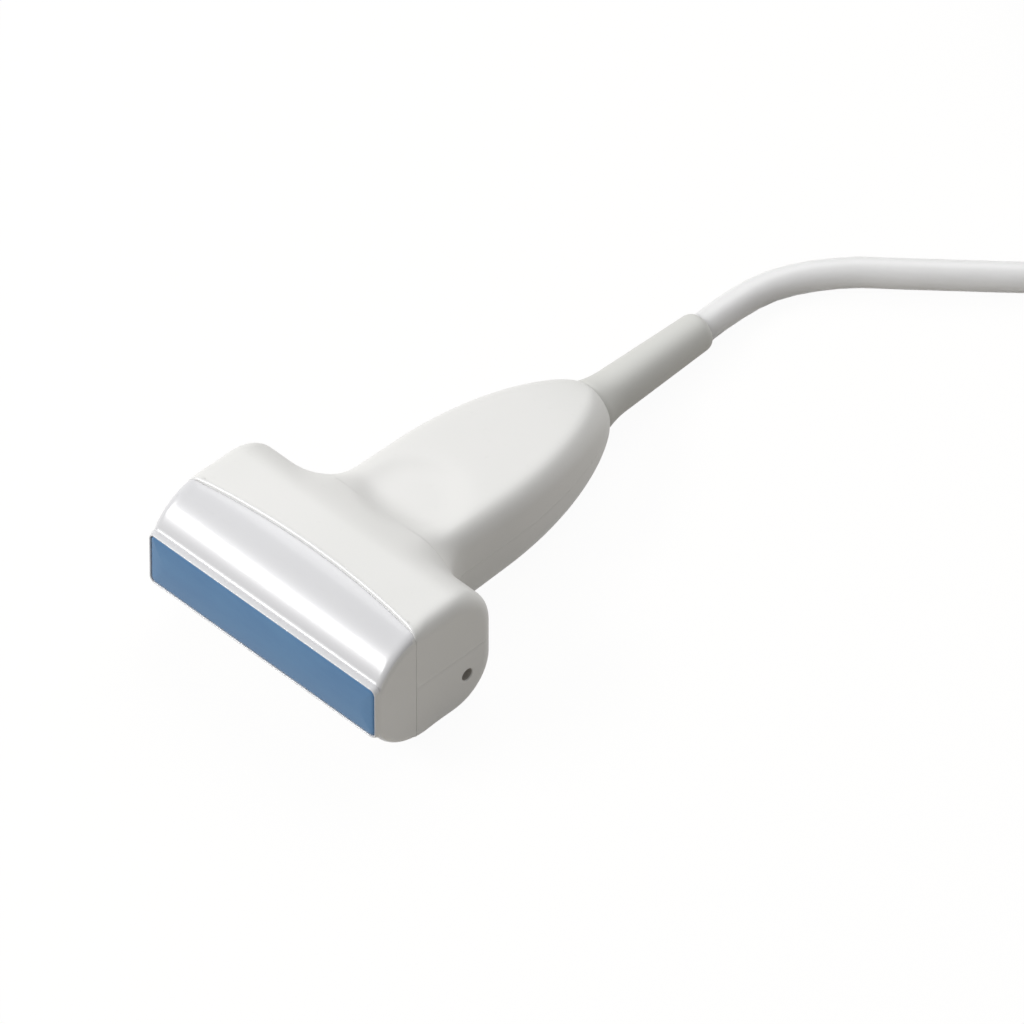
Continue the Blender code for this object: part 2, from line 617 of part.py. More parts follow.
def build_cable_entry(probe):
    """The jacket's end in the handle, its clamp and screws, and the fanned cores on the board."""
    steel = material("clamp_steel", "A9ADB1", 0.35, 1.0)
    jacket = material("cable_jacket", "DCDCDA", 0.5)
    core = material("core_bundle", "C8A24A", 0.5)
    jacket_end = clamp_back() - CLAMP_LENGTH - JACKET_PAST_CLAMP
    ring = rounded_outline(CABLE_RADIUS, CABLE_RADIUS, CABLE_RADIUS, 4)
    tube = [[(x, y, z) for x, z in ring] for y in (jacket_end, RELIEF_TIP - GAP)]
    finish(loft(tube), "cable_jacket_end", jacket, probe)
    radius, outer = CABLE_RADIUS + GAP, CABLE_RADIUS + GAP + CLAMP_THICKNESS
    ear = clamp_ear() + CLAMP_SCREW_DIAMETER
    flat = CLAMP_THICKNESS / 2
    arc = [math.radians(angle) for angle in range(8, 173, 18)]
    over = [(outer * math.cos(a), outer * math.sin(a)) for a in arc]
    under = [(radius * math.cos(a), radius * math.sin(a)) for a in reversed(arc)]
    profile = [(ear, -flat), (ear, flat), (outer + 0.0002, flat)] + over[1:-1]
    profile += [(-outer - 0.0002, flat), (-ear, flat), (-ear, -flat)] + [(-radius, -flat)]
    profile += under[1:-1] + [(radius, -flat)]
    back = clamp_back()
    ends = (back - CLAMP_LENGTH, back)
    strap = loft([[(x, y, z) for x, z in profile] for y in ends])
    strap = finish(strap, "cable_clamp", steel, probe)
    for side in (-1, 1):
        cut(strap, clamp_screw_body(side, GAP / 2, -CABLE_RADIUS))
        screw = clamp_screw_body(side, 0.0, -CABLE_RADIUS - CLAMP_SCREW_BITE)
        name = "clamp_screw_left" if side < 0 else "clamp_screw_right"
        finish(screw, name, steel, probe)
    board_end = BOARD_FRONT + BOARD_LENGTH
    seat = BOARD_THICKNESS / 2 + GAP
    flat = CORE_LAYER / 2
    bundle = 0.73 * CABLE_RADIUS
    stages = (
        (jacket_end - GAP, bundle, bundle, 0.0),
        (
            0.5 * (jacket_end + board_end),
            0.19 * BOARD_WIDTH,
            1.7 * CORE_LAYER,
            0.6 * seat + 0.72 * CORE_LAYER,
        ),
        (board_end + GAP, 0.31 * BOARD_WIDTH, 1.1 * CORE_LAYER, seat + 1.3 * CORE_LAYER),
        (board_end - 0.57 * CORES_ON_BOARD, 0.4 * BOARD_WIDTH, flat, seat + flat),
        (board_end - CORES_ON_BOARD, 0.4 * BOARD_WIDTH, flat, seat + flat),
    )
    sections = []
    for y, half_width, half_height, height in stages:
        outline = rounded_outline(half_width, half_height, half_height, 3)
        sections.append([(x, y, z + height) for x, z in outline])
    finish(loft(sections), "core_bundle", core, probe)


def build_strain_relief(probe):
    """A soft sleeve turned round the cable: a flange and neck in the handle, a flare, and a long tapering stem."""
    rubber = material("relief_elastomer", "CDCFCB", 0.6)
    stem, tip = RELIEF_STEM_DIAMETER / 2, RELIEF_TIP_DIAMETER / 2
    base = HANDLE_END_RADIUS
    profile = [
        (BORE_RADIUS, FLANGE_FRONT),
        (RELIEF_FLANGE_DIAMETER / 2, FLANGE_FRONT),
        (RELIEF_FLANGE_DIAMETER / 2, FLANGE_FRONT + RELIEF_FLANGE_THICKNESS),
        (RELIEF_NECK_DIAMETER / 2, FLANGE_FRONT + RELIEF_FLANGE_THICKNESS),
        (RELIEF_NECK_DIAMETER / 2, RELIEF_START),
    ]
    flare = RELIEF_LENGTH * 0.23
    for i in range(6):
        share = i / 5
        radius = stem + (base - stem) * (1 - share) ** 2
        profile.append((radius, RELIEF_START + flare * share))
    nose = tip - BORE_RADIUS
    profile.append((tip, RELIEF_TIP - 2 * nose))
    for angle in (30, 60):
        turn = math.radians(angle)
        profile.append(
            (
                BORE_RADIUS + nose * math.cos(turn),
                RELIEF_TIP - 2 * nose + 2 * nose * math.sin(turn),
            )
        )
    profile.append((BORE_RADIUS + nose * 0.2, RELIEF_TIP))
    profile.append((BORE_RADIUS, RELIEF_TIP))
    finish(turned(profile, 24), "strain_relief", rubber, probe)


# Cable, coil and connector, in world places counted from the relief's tip


def smooth_route(points, spacing):
    """Evenly spaced points on one smooth curve through the chosen points."""
    chosen = [Vector(point) for point in points]
    ends = [2 * chosen[0] - chosen[1]] + chosen + [2 * chosen[-1] - chosen[-2]]
    fine = []
    for a, b, c, d in zip(ends, ends[1:], ends[2:], ends[3:]):
        for i in range(24):
            t = i / 24
            fine.append(
                0.5 * (2 * b + (c - a) * t + (2 * a - 5 * b + 4 * c - d) * t**2)
                + 0.5 * (3 * b - a - 3 * c + d) * t**3
            )
    fine.append(chosen[-1])
    length = sum((b - a).length for a, b in zip(fine, fine[1:]))
    count = max(2, round(length / spacing))
    even, travelled, wanted = [fine[0]], 0.0, length / count
    for a, b in zip(fine, fine[1:]):
        travelled += (b - a).length
        if travelled >= wanted * len(even) and len(even) < count:
            even.append(b)
    even.append(fine[-1])
    return even


def cable_tube(name, points, surface):
    curve = bpy.data.curves.new(name, "CURVE")
    curve.dimensions = "3D"
    curve.bevel_depth = CABLE_RADIUS
    curve.bevel_resolution = 3
    curve.use_fill_caps = True
    spline = curve.splines.new("POLY")
    spline.points.add(len(points) - 1)
    for slot, point in zip(spline.points, points):
        slot.co = (*point, 1)
    curve.materials.append(surface)
    tube = bpy.data.objects.new(name, curve)
    bpy.context.scene.collection.objects.link(tube)


# Chosen along the photographed bend and on to the coil: across, along and up from the relief's tip.
CABLE_ROUTE = (
    (0.0000, 0.0060, -0.0003),
    (0.0002, 0.0110, -0.0005),
    (0.0012, 0.0160, -0.0006),
    (0.0034, 0.0210, -0.0006),
    (0.0070, 0.0262, -0.0006),
    (0.0122, 0.0318, -0.0006),
    (0.0190, 0.0372, -0.0006),
    (0.0270, 0.0436, -0.0006),
    (0.0380, 0.0524, -0.0006),
    (0.0443, 0.0579, -0.0006),
    (0.0488, 0.0640, -0.0006),
    (0.0524, 0.0742, -0.0006),
    (0.0524, 0.0853, -0.0006),
    (0.0492, 0.0948, -0.0006),
    (0.0432, 0.1028, -0.0006),
    (0.0343, 0.1088, -0.0006),
)


def build_cable(tip, heading):
    jacket = bpy.data.materials["cable_jacket"]
    route = [tip + heading * GAP]
    for across, along, up in CABLE_ROUTE:
        height = max(CABLE_RADIUS, tip.z + up)
        if along > 0.010:
            height = CABLE_RADIUS
        route.append(Vector((tip.x + across, tip.y + along, height)))
    cable_tube("cable_run", smooth_route(route, 2 * CABLE_DIAMETER), jacket)


def build_coil(centre):
    jacket = bpy.data.materials["cable_jacket"]
    edge = CABLE_RADIUS * 0.7
    profile = [
        (COIL_INNER + edge, COIL_BASE),
        (COIL_OUTER - edge, COIL_BASE),
        (COIL_OUTER, COIL_BASE + edge),
        (COIL_OUTER, COIL_TOP - edge),
        (COIL_OUTER - edge, COIL_TOP),
        (COIL_INNER + edge, COIL_TOP),
        (COIL_INNER, COIL_TOP - edge),
        (COIL_INNER, COIL_BASE + edge),
    ]
    finish(turned(profile, COIL_FACETS, centre, axis="Z"), "cable_coil", jacket)
    strap = material("hook_and_loop_strap", "2B2D30", 0.9)
    inner = COIL_THICKNESS / 2 + GAP
    outer = inner + TIE_THICKNESS
    height = (COIL_BASE + COIL_TOP) / 2
    ring = rounded_outline(inner, inner, edge, 2)
    wide = rounded_outline(outer, outer, edge + TIE_THICKNESS, 2)
    for facet, name in ((7, "coil_tie_back"), (27, "coil_tie_front")):
        wraps = [(ring, turn) for turn in (-1, 0, 1)] + [(wide, turn) for turn in (1, 0, -1)]
        loops = []
        for outline, turn in wraps:
            angle = 2 * math.pi * (facet + turn) / COIL_FACETS
            place = Matrix.Translation(centre) @ Matrix.Rotation(angle, 4, "Z")
            reach = COIL_MEAN_DIAMETER / 2
            loops.append([place @ Vector((reach + a, 0, height + b)) for a, b in outline])
        finish(loft(loops, closed=True), name, strap)


def connector_half(name, surface, side, home):
    """One shell of the connector: a rounded tray with a rim, open at the mating end and for the relief."""
    length, width = CONNECTOR_LENGTH, CONNECTOR_WIDTH
    half = CONNECTOR_THICKNESS / 2
    stages = ((GAP / 2, 0.0), (half * 0.6, 0.0), (half * 0.85, 0.0006), (half, 0.0022))
    sections = []
    for height, inset in stages:
        outline = rounded_outline(
            length / 2 - inset, width / 2 - inset, CONNECTOR_CORNER_RADIUS, 4
        )
        sections.append([(x - length / 2, y, side * height) for x, y in outline])
    shell = finish(loft(sections), name, surface, home)
    hollow = rounded_outline(
        length / 2 - CONNECTOR_WALL,
        width / 2 - CONNECTOR_WALL,
        CONNECTOR_CORNER_RADIUS - CONNECTOR_WALL,
        3,
    )
    heights = (-GAP, half - CONNECTOR_WALL)
    cut(shell, loft([[(x - length / 2, y, side * z) for x, y in hollow] for z in heights]))
    mouth_y = width / 2 - CONNECTOR_CORNER_RADIUS + GAP
    mouth_z = half * 0.62 + GAP
    low, high = (-length - 0.005, -mouth_y, -mouth_z), (-length + 0.005, mouth_y, mouth_z)
    cut(shell, block(low, high))
    radius = RELIEF_NECK_DIAMETER / 2 + GAP
    ring = rounded_outline(radius, radius, radius, 4)
    cut(shell, loft([[(x, a, b) for a, b in ring] for x in (-0.005, 0.005)]))
    return shell


def connector_screw_body(x, y, clearance, low):
    radius = CONNECTOR_SCREW_DIAMETER / 2 + clearance
    head = CONNECTOR_SCREW_HEAD / 2 + clearance
    half = CONNECTOR_THICKNESS / 2
    seat = half - 0.0009
    profile = ((0.0, low), (radius, low), (radius, seat), (head, seat), (head, half), (0.0, half))
    edit = turned(profile, 12, (x, y, 0), axis="Z")
    bmesh.ops.remove_doubles(edit, verts=edit.verts, dist=0.00001)
    return edit


def build_connector(centre):
    """The plug that lies on the coil; its own X runs from the mating face to the cable."""
    resin = material("connector_housing", "D8D8D5", 0.5)
    gold = material("contact_resin", "23252A", 0.45)
    rubber = bpy.data.materials["relief_elastomer"]
    steel = bpy.data.materials["clamp_steel"]
    home = bpy.data.objects.new("connector_place", None)
    bpy.context.scene.collection.objects.link(home)
    home.location = centre + CONNECTOR_PLACE
    bpy.context.view_layer.update()
    upper = connector_half("connector_upper_shell", resin, 1, home)
    lower = connector_half("connector_lower_shell", resin, -1, home)
    half = CONNECTOR_THICKNESS / 2
    across = CONNECTOR_WIDTH / 2 - CONNECTOR_CORNER_RADIUS
    back = -CONNECTOR_LENGTH + CONTACT_BLOCK_DEPTH
    low = (-CONNECTOR_LENGTH - CONTACT_BLOCK_PROUD, -across, -half * 0.62)
    high = (back, across, half * 0.62)
    contact = finish(block(low, high, 0.0006, 1), "connector_contact_block", gold, home)
    slot_low = (low[0] - 0.001, -across + 0.003, -0.0011)
    slot_high = (low[0] + 0.005, across - 0.003, 0.0011)
    cut(contact, block(slot_low, slot_high))
    laminate = bpy.data.materials["circuit_board"]
    board_half = CONNECTOR_WIDTH / 2 - 2 * CONNECTOR_SCREW_INSET
    low = (back + GAP, -board_half, -0.0008)
    high = (back + GAP + CONNECTOR_BOARD_LENGTH, board_half, 0.0008)
    finish(block(low, high), "connector_board", laminate, home)
    stem, tip = RELIEF_NECK_DIAMETER / 2, RELIEF_TIP_DIAMETER / 2
    wall = CONNECTOR_WALL
    profile = [
        (BORE_RADIUS, -wall - GAP - 0.002),
        (stem + 0.0015, -wall - GAP - 0.002),
        (stem + 0.0015, -wall - GAP),
        (stem, -wall - GAP),
        (stem, GAP),
        (stem + 0.0012, GAP),
        (stem + 0.0003, 0.25 * CONNECTOR_RELIEF_LENGTH),
        (tip, CONNECTOR_RELIEF_LENGTH),
        (BORE_RADIUS, CONNECTOR_RELIEF_LENGTH),
    ]
    edit = turned(profile, 20)
    turn = Matrix.Rotation(-math.pi / 2, 4, "Z")
    bmesh.ops.transform(edit, matrix=turn, verts=edit.verts)
    finish(edit, "connector_relief", rubber, home)
    ring = rounded_outline(CABLE_RADIUS, CABLE_RADIUS, CABLE_RADIUS, 4)
    ends = (back + 2 * GAP + CONNECTOR_BOARD_LENGTH, CONNECTOR_RELIEF_LENGTH - GAP)
    stub = loft([[(x, a, b) for a, b in ring] for x in ends])
    finish(stub, "connector_jacket_end", bpy.data.materials["cable_jacket"], home)
    for x, end in ((-0.008, "rear"), (-CONNECTOR_LENGTH + 0.016, "front")):
        for side, hand in ((-1, "left"), (1, "right")):
            y = side * (CONNECTOR_WIDTH / 2 - CONNECTOR_SCREW_INSET)
            pillar = block((x - 0.0026, y - 0.0026, -half * 0.85), (x + 0.0026, y + 0.0026, -GAP))
            cut(lower, pillar, "UNION")
            cut(lower, connector_screw_body(x, y, GAP / 2, -half * 0.5))
            cut(upper, connector_screw_body(x, y, GAP / 2, -half * 0.5))
            screw = connector_screw_body(x, y, 0.0, -half * 0.45)
            finish(screw, f"connector_screw_{end}_{hand}", steel, home)


def eased(low, high, share):
    return low + (high - low) * share**2 * (3 - 2 * share)


def build_lead(centre):
    """The last stretch of cable: along the outer turn, over the back tie and round in one arc to the relief."""
    mouth = centre + CONNECTOR_PLACE + Vector((CONNECTOR_RELIEF_LENGTH + GAP, 0, 0))
    straight = mouth + Vector((LEAD_STRAIGHT, 0, 0))
    outer = COIL_OUTER - CABLE_RADIUS
    across, along = straight.x - centre.x, outer + straight.y - centre.y
    pivot = (across**2 + along**2) / (2 * along)
    leave = math.acos(across / pivot)
    lowest = COIL_TOP + GAP + CABLE_RADIUS
    over_tie = lowest + TIE_THICKNESS + GAP
    steps = 8
    points = []
    for i in range(steps):
        angle = LEAD_STARTS_AT + (leave - LEAD_STARTS_AT) * i / steps
        climbed = min(1, (LEAD_STARTS_AT - angle) / LEAD_CLIMB)
        height = eased(lowest, over_tie, climbed)
        points.append(centre + Vector((outer * math.cos(angle), outer * math.sin(angle), height)))
    hub = centre + Vector((pivot * math.cos(leave), pivot * math.sin(leave), 0))
    radius = outer - pivot
    for i in range(steps + 1):
        angle = leave - (leave + math.pi / 2) * i / steps
        height = eased(over_tie, mouth.z, i / steps)
        points.append(hub + Vector((radius * math.cos(angle), radius * math.sin(angle), height)))
    points.append(mouth)
    jacket = bpy.data.materials["cable_jacket"]
    cable_tube("cable_lead", smooth_route(points, 1.5 * CABLE_DIAMETER), jacket)


def settle(probe):
    """Puts the middle of the resting probe's footprint at the origin."""
    bpy.context.view_layer.update()
    corners = []
    for piece in probe.children:
        corners += [piece.matrix_world @ vertex.co for vertex in piece.data.vertices]
    low = [min(corner[i] for corner in corners) for i in range(3)]
    high = [max(corner[i] for corner in corners) for i in range(3)]
    probe.location -= Vector(((low[0] + high[0]) / 2, (low[1] + high[1]) / 2, low[2]))
    bpy.context.view_layer.update()


def main():
    clear_scene()
    probe = bpy.data.objects.new("probe_axis", None)
    bpy.context.scene.collection.objects.link(probe)
    build_housing(probe)
    build_lens(probe)
    build_array(probe)
    build_flex(probe)
    build_board(probe)
    build_cable_entry(probe)
    build_strain_relief(probe)
    probe.rotation_euler = (-resting_tilt(), 0, 0)
    settle(probe)
    tip = probe.matrix_world @ Vector((0, RELIEF_TIP, 0))
    heading = (probe.matrix_world.to_3x3() @ Vector((0, 1, 0))).normalized()
    build_cable(tip, heading)
    centre = Vector((tip.x + COIL_OFFSET[0], tip.y + COIL_OFFSET[1], 0))
    build_coil(centre)
    build_connector(centre)
    build_lead(centre)


main()
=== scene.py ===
# %% [markdown]
# Linear ultrasound probe
#
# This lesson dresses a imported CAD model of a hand-held ultrasound probe: a T-shaped white moulding with a
# blue silicone lens across its head, a soft sleeve where the cable leaves the handle, and the cable
# itself. The CAD model fixes every size and place. The script builds finer skins over it, gives each
# surface the finish that its material has in the hand, and lights the probe as a product photographer
# would.

# %% Load the frame
import json
import math

import bmesh
import bpy
import numpy as np
from mathutils import Matrix, Vector


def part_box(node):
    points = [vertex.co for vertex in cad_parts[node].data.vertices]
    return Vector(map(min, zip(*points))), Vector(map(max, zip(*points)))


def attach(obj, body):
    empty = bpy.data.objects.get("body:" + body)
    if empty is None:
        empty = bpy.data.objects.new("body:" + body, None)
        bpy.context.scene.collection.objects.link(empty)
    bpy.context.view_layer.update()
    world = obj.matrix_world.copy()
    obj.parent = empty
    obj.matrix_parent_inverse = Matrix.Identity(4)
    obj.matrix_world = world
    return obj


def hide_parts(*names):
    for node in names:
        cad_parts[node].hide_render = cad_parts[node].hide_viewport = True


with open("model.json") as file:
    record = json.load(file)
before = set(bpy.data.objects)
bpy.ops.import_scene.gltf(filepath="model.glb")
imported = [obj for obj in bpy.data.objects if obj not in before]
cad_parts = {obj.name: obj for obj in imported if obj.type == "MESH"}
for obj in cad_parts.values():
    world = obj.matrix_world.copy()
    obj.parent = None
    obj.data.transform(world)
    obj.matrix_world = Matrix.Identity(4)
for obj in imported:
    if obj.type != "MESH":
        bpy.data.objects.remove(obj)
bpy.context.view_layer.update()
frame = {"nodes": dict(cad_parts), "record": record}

# %% [markdown]
# How the probe lies
#
# The probe isn't flat on the table: the deep belly of the head and the tip of the cable sleeve touch it,
# so the handle slopes down to the tail by a little over six degrees. It could be drawn in that pose
# directly, but every form is far easier to describe along the probe's own axes. So each piece is shaped
# with its nose at the origin and its handle along +Y, and one matrix then lays it down where the CAD
# model has it.

# %% The resting place
REST_TILT = math.radians(6.305679)
NOSE_START = Vector((0.0, -0.06101109, 0.01081007))
LAY_DOWN = Matrix.Rotation(-REST_TILT, 4, "X") @ Matrix.Translation(NOSE_START)
low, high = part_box("nose_piece")
print("nose centre by the matrix, mm:", [round(1000 * v, 2) for v in LAY_DOWN @ Vector((0, 0, 0))])
print("nose box in the frame, mm:", [round(1000 * v, 2) for v in (*low, *high)])

# %% [markdown]
# The camera
#
# The picture was taken with a long lens from the front right and about 45 degrees up, which shows in its
# parallel edges. A camera could be set by eye, but here the view was worked out from the lens strip: its
# three vectors are written in the probe's own axes and laid down with it. The camera stands far off with
# a very long lens, because that keeps parallel edges parallel.

# %% Camera
PIXELS = 1024
PIXELS_PER_MM = 5.08
view_right = Vector((0.7071, 0.7071, 0.0))
view_back = Vector((0.5044, -0.5044, 0.7009)).normalized()
view_right = (view_right - view_right.dot(view_back) * view_back).normalized()
view_up = view_back.cross(view_right)
lens_pixel = (266.5, 633.0)
across = (PIXELS / 2 - lens_pixel[0]) / PIXELS_PER_MM / 1000
upward = (lens_pixel[1] - PIXELS / 2) / PIXELS_PER_MM / 1000
FOCAL, SENSOR = 900.0, 36.0
frame_width = PIXELS / PIXELS_PER_MM / 1000
distance = frame_width * FOCAL / SENSOR
lens = bpy.data.cameras.new("photo_lens")
lens.lens, lens.sensor_width, lens.clip_end = FOCAL, SENSOR, 60.0
camera = bpy.data.objects.new("photo_camera", lens)
bpy.context.scene.collection.objects.link(camera)
aim = across * view_right + upward * view_up
axes = Matrix((view_right, view_up, view_back)).transposed().to_4x4()
camera.matrix_world = LAY_DOWN @ Matrix.Translation(aim + distance * view_back) @ axes
bpy.context.scene.camera = camera
print("camera distance, m:", round(distance, 2))

# %% [markdown]
# The cable's way
#
# A probe cable holds over a hundred hair-thin coaxial wires, so it is soft for its 6.3 mm and takes wide,
# easy bends. It comes straight out of the sleeve, swings to the right in one curve and goes out of the
# picture. A probe has about two metres of it. What the picture doesn't show is put away as people store
# it: the cable turns back behind the probe and is wound into a neat coil, strapped twice, with the
# connector lying on top. The coil could be a plain spiral, but a cable on a table is laid layer on layer:
# three turns going in, three coming out on top of them, and two more.

# %% Cable sizes and the bend in view
CABLE = 0.0063
RADIUS = CABLE / 2
RELIEF_TIP = 0.1214
TIP = LAY_DOWN @ Vector((0, RELIEF_TIP, 0))
HEADING = (LAY_DOWN.to_3x3() @ Vector((0, 1, 0))).normalized()
COIL_OFFSET = (0.0200, 0.1540)
COIL_CENTRE = Vector((TIP.x + COIL_OFFSET[0], TIP.y + COIL_OFFSET[1], 0))
COIL_BASE = 0.0012
INTO_SLEEVE, PAST_TIP, SAG = 0.004, 0.0003, 0.0004
LEVEL_FROM, STRAP_FROM, STRAP_RUN = 0.010, 0.0948, 0.0169
BEND = (
    (0.0000, 0.0060), (0.0002, 0.0110), (0.0012, 0.0160), (0.0034, 0.0210),
    (0.0070, 0.0262), (0.0122, 0.0318), (0.0190, 0.0372), (0.0270, 0.0436),
    (0.0380, 0.0524), (0.0443, 0.0579), (0.0488, 0.0640), (0.0524, 0.0742),
    (0.0524, 0.0853), (0.0492, 0.0948), (0.0432, 0.1028), (0.0343, 0.1088),
)


def smooth(share):
    """Eases from 0 to 1, with a level start and end."""
    share = min(max(share, 0.0), 1.0)
    return share * share * (3 - 2 * share)


bend = [TIP - INTO_SLEEVE * HEADING, TIP + PAST_TIP * HEADING]
for x, y in BEND:
    onto_strap = smooth((y - STRAP_FROM) / STRAP_RUN)
    height = RADIUS + COIL_BASE * onto_strap if y > LEVEL_FROM else max(RADIUS, TIP.z - SAG)
    bend.append(Vector((TIP.x + x, TIP.y + y, height)))
print("the sleeve's tip, mm:", [round(1000 * v, 2) for v in TIP])


# %% A smooth curve
FINE_STEPS = 30


def spline(points, spacing):
    """A smooth curve through chosen points, cut into equal steps."""
    chosen = [Vector(point) for point in points]
    ends = [2 * chosen[0] - chosen[1]] + chosen + [2 * chosen[-1] - chosen[-2]]
    fine = []
    for a, b, c, d in zip(ends, ends[1:], ends[2:], ends[3:]):
        for i in range(FINE_STEPS):
            t = i / FINE_STEPS
            straight = 2 * b + (c - a) * t + (2 * a - 5 * b + 4 * c - d) * t**2
            fine.append(0.5 * (straight + (3 * b - a - 3 * c + d) * t**3))
    fine.append(chosen[-1])
    lengths = np.cumsum([0.0] + [(b - a).length for a, b in zip(fine, fine[1:])])
    wanted = np.linspace(0, lengths[-1], max(2, round(lengths[-1] / spacing)) + 1)
    array = np.array([tuple(point) for point in fine])
    return [Vector([np.interp(w, lengths, array[:, k]) for k in range(3)]) for w in wanted]


# %% [markdown]
# Winding the coil
#
# Each turn keeps its radius for most of the way round and then steps over to the next one, within a
# quarter turn or so and always on the same side, as a winder does by hand. Where the cable climbs to the
# next layer it swings out a little, or it would pass through the turn that it climbs over.

# %% The turns
ARRIVES, LEAVES = math.radians(270), math.radians(160)
STEP_OVER = math.radians(95)
SWING = 0.0029
OUTER_TURN, MIDDLE_TURN, INNER_TURN = 0.0423, 0.0360, 0.0297
TURNS = (
    (OUTER_TURN, 0), (MIDDLE_TURN, 0), (INNER_TURN, 0),
    (INNER_TURN, 1), (MIDDLE_TURN, 1), (OUTER_TURN, 1),
    (OUTER_TURN, 2), (MIDDLE_TURN, 2),
)
POINTS_A_TURN = 32
turns = []
for number, (reach, layer) in enumerate(TURNS):
    onward, above = TURNS[min(number + 1, len(TURNS) - 1)]
    for i in range(POINTS_A_TURN):
        angle = 2 * math.pi * i / POINTS_A_TURN
        if number == len(TURNS) - 1 and angle >= (ARRIVES - LEAVES) % (2 * math.pi):
            break
        share = smooth((angle - (2 * math.pi - STEP_OVER)) / STEP_OVER)
        swing = SWING * math.sin(math.pi * share) ** 0.5 * (above - layer) * (1 if layer else -1)
        radius = reach + (onward - reach) * share + swing
        height = COIL_BASE + RADIUS + CABLE * (layer + (above - layer) * share)
        turn = ARRIVES - angle
        turns.append(COIL_CENTRE + Vector((radius * math.cos(turn), radius * math.sin(turn), height)))
print("points in the bend and the turns:", len(bend), len(turns))

# %% [markdown]
# From the coil to the connector
#
# The connector lies on the coil with its mating face away from the cable. The last turn climbs on top of
# the outer one, runs over the strap, and comes round in one wide arc to the mouth of the connector's own
# sleeve. The arc is the one circle that touches the outer turn and the line of the mouth, so the cable
# has no kink in it.

# %% Where the connector lies
COIL_TOP = COIL_BASE + 3 * CABLE
CONNECTOR = COIL_CENTRE + Vector((-0.0010, -0.0140, 0.0298))
SLEEVE_REACH, STRAIGHT_RUN, PLUGGED_IN = 0.0153, 0.0020, 0.008
MOUTH = CONNECTOR + Vector((SLEEVE_REACH, 0, 0))
straight = MOUTH + Vector((STRAIGHT_RUN, 0, 0))
print("height of the connector's middle plane, mm:", round(1000 * CONNECTOR.z, 1))

# %% The climb onto the outer turn
CLEAR, STRAP_LIFT = 0.0003, 0.0012
ON_TOP, STRAP_RAMP = math.radians(95), math.radians(20)
CLIMB_STEPS, OUTER_STEPS, ARC_STEPS = 10, 8, 8
lowest = COIL_TOP + CLEAR + RADIUS
over_strap = lowest + STRAP_LIFT
lead = []
for i in range(1, CLIMB_STEPS):
    share = i / CLIMB_STEPS
    angle, climb = LEAVES + (ON_TOP - LEAVES) * share, math.pi / 2 * smooth(share)
    radius = OUTER_TURN - CABLE * math.cos(climb)
    height = COIL_BASE + RADIUS + 2 * CABLE + (CABLE + CLEAR) * math.sin(climb)
    lead.append(COIL_CENTRE + Vector((radius * math.cos(angle), radius * math.sin(angle), height)))
print("points in the climb:", len(lead))

# %% The last arc and the whole route
SPACING = 0.0045
along = OUTER_TURN + straight.y - COIL_CENTRE.y
pivot = ((straight.x - COIL_CENTRE.x) ** 2 + along**2) / (2 * along)
leave = math.acos((straight.x - COIL_CENTRE.x) / pivot)
for i in range(OUTER_STEPS):
    angle = ON_TOP + (leave - ON_TOP) * i / OUTER_STEPS
    height = lowest + (over_strap - lowest) * smooth((ON_TOP - angle) / STRAP_RAMP)
    lead.append(COIL_CENTRE + Vector((OUTER_TURN * math.cos(angle), OUTER_TURN * math.sin(angle), height)))
hub = COIL_CENTRE + Vector((pivot * math.cos(leave), pivot * math.sin(leave), 0))
arc = OUTER_TURN - pivot
for i in range(ARC_STEPS + 1):
    angle = leave - (leave + math.pi / 2) * i / ARC_STEPS
    height = over_strap + (MOUTH.z - over_strap) * smooth(i / ARC_STEPS)
    lead.append(hub + Vector((arc * math.cos(angle), arc * math.sin(angle), height)))
lead += [MOUTH, MOUTH - Vector((PLUGGED_IN, 0, 0))]
route = spline(bend + turns + lead, SPACING)

# %% [markdown]
# One tube for the whole cable
#
# A cable could be a mesh swept round by round. The bevel is one metre and each point's radius is the
# cable's, because a curve's box is widened by the radius of its points.

# %% Cable
track = bpy.data.curves.new("probe_cable", "CURVE")
track.dimensions = "3D"
track.bevel_depth = 1.0
track.bevel_resolution = 7
track.use_fill_caps = True
line = track.splines.new("POLY")
line.points.add(len(route) - 1)
for slot, point in zip(line.points, route):
    slot.co = (*point, 1)
    slot.radius = RADIUS
cable = bpy.data.objects.new("probe_cable", track)
bpy.context.scene.collection.objects.link(cable)

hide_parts("cable_run", "cable_coil", "cable_lead", "cable_jacket_end", "connector_jacket_end")
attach(cable, "root")

# %% [markdown]
# Colour and nodes
#
# Paint and plastic are matched in screen colours, but a renderer adds light, so each hex value is
# turned to linear first. A material here is a Principled shader with a few nodes in front of it for
# grain, mottling and bump. One function adds a node with its settings and links, so that each recipe
# reads from top to bottom.

# %% Colour and node helpers
def linear(code):
    values = [int(code[i:i + 2], 16) / 255 for i in (0, 2, 4)]
    return tuple(v / 12.92 if v <= 0.04045 else ((v + 0.055) / 1.055) ** 2.4 for v in values) + (1.0,)


def add(tree, kind, settings=None, **inputs):
    """Adds a node. Settings are its own properties; inputs are values or the sockets they come from."""
    node = tree.nodes.new(kind)
    for key, value in (settings or {}).items():
        setattr(node, key, value)
    for key, value in inputs.items():
        name = key.replace("_", " ")
        socket = node.inputs[int(key[1:])] if key[1:].isdigit() and key[0] == "i" else node.inputs[name]
        if isinstance(value, bpy.types.NodeSocket):
            tree.links.new(value, socket)
        else:
            socket.default_value = value
    return node


def new_material(name):
    made = bpy.data.materials.new(name)
    made.use_nodes = True
    made.node_tree.nodes.clear()
    place = add(made.node_tree, "ShaderNodeTexCoord").outputs["Object"]
    return made, made.node_tree, place


def close(tree, shader):
    add(tree, "ShaderNodeOutputMaterial", Surface=shader.outputs[0])


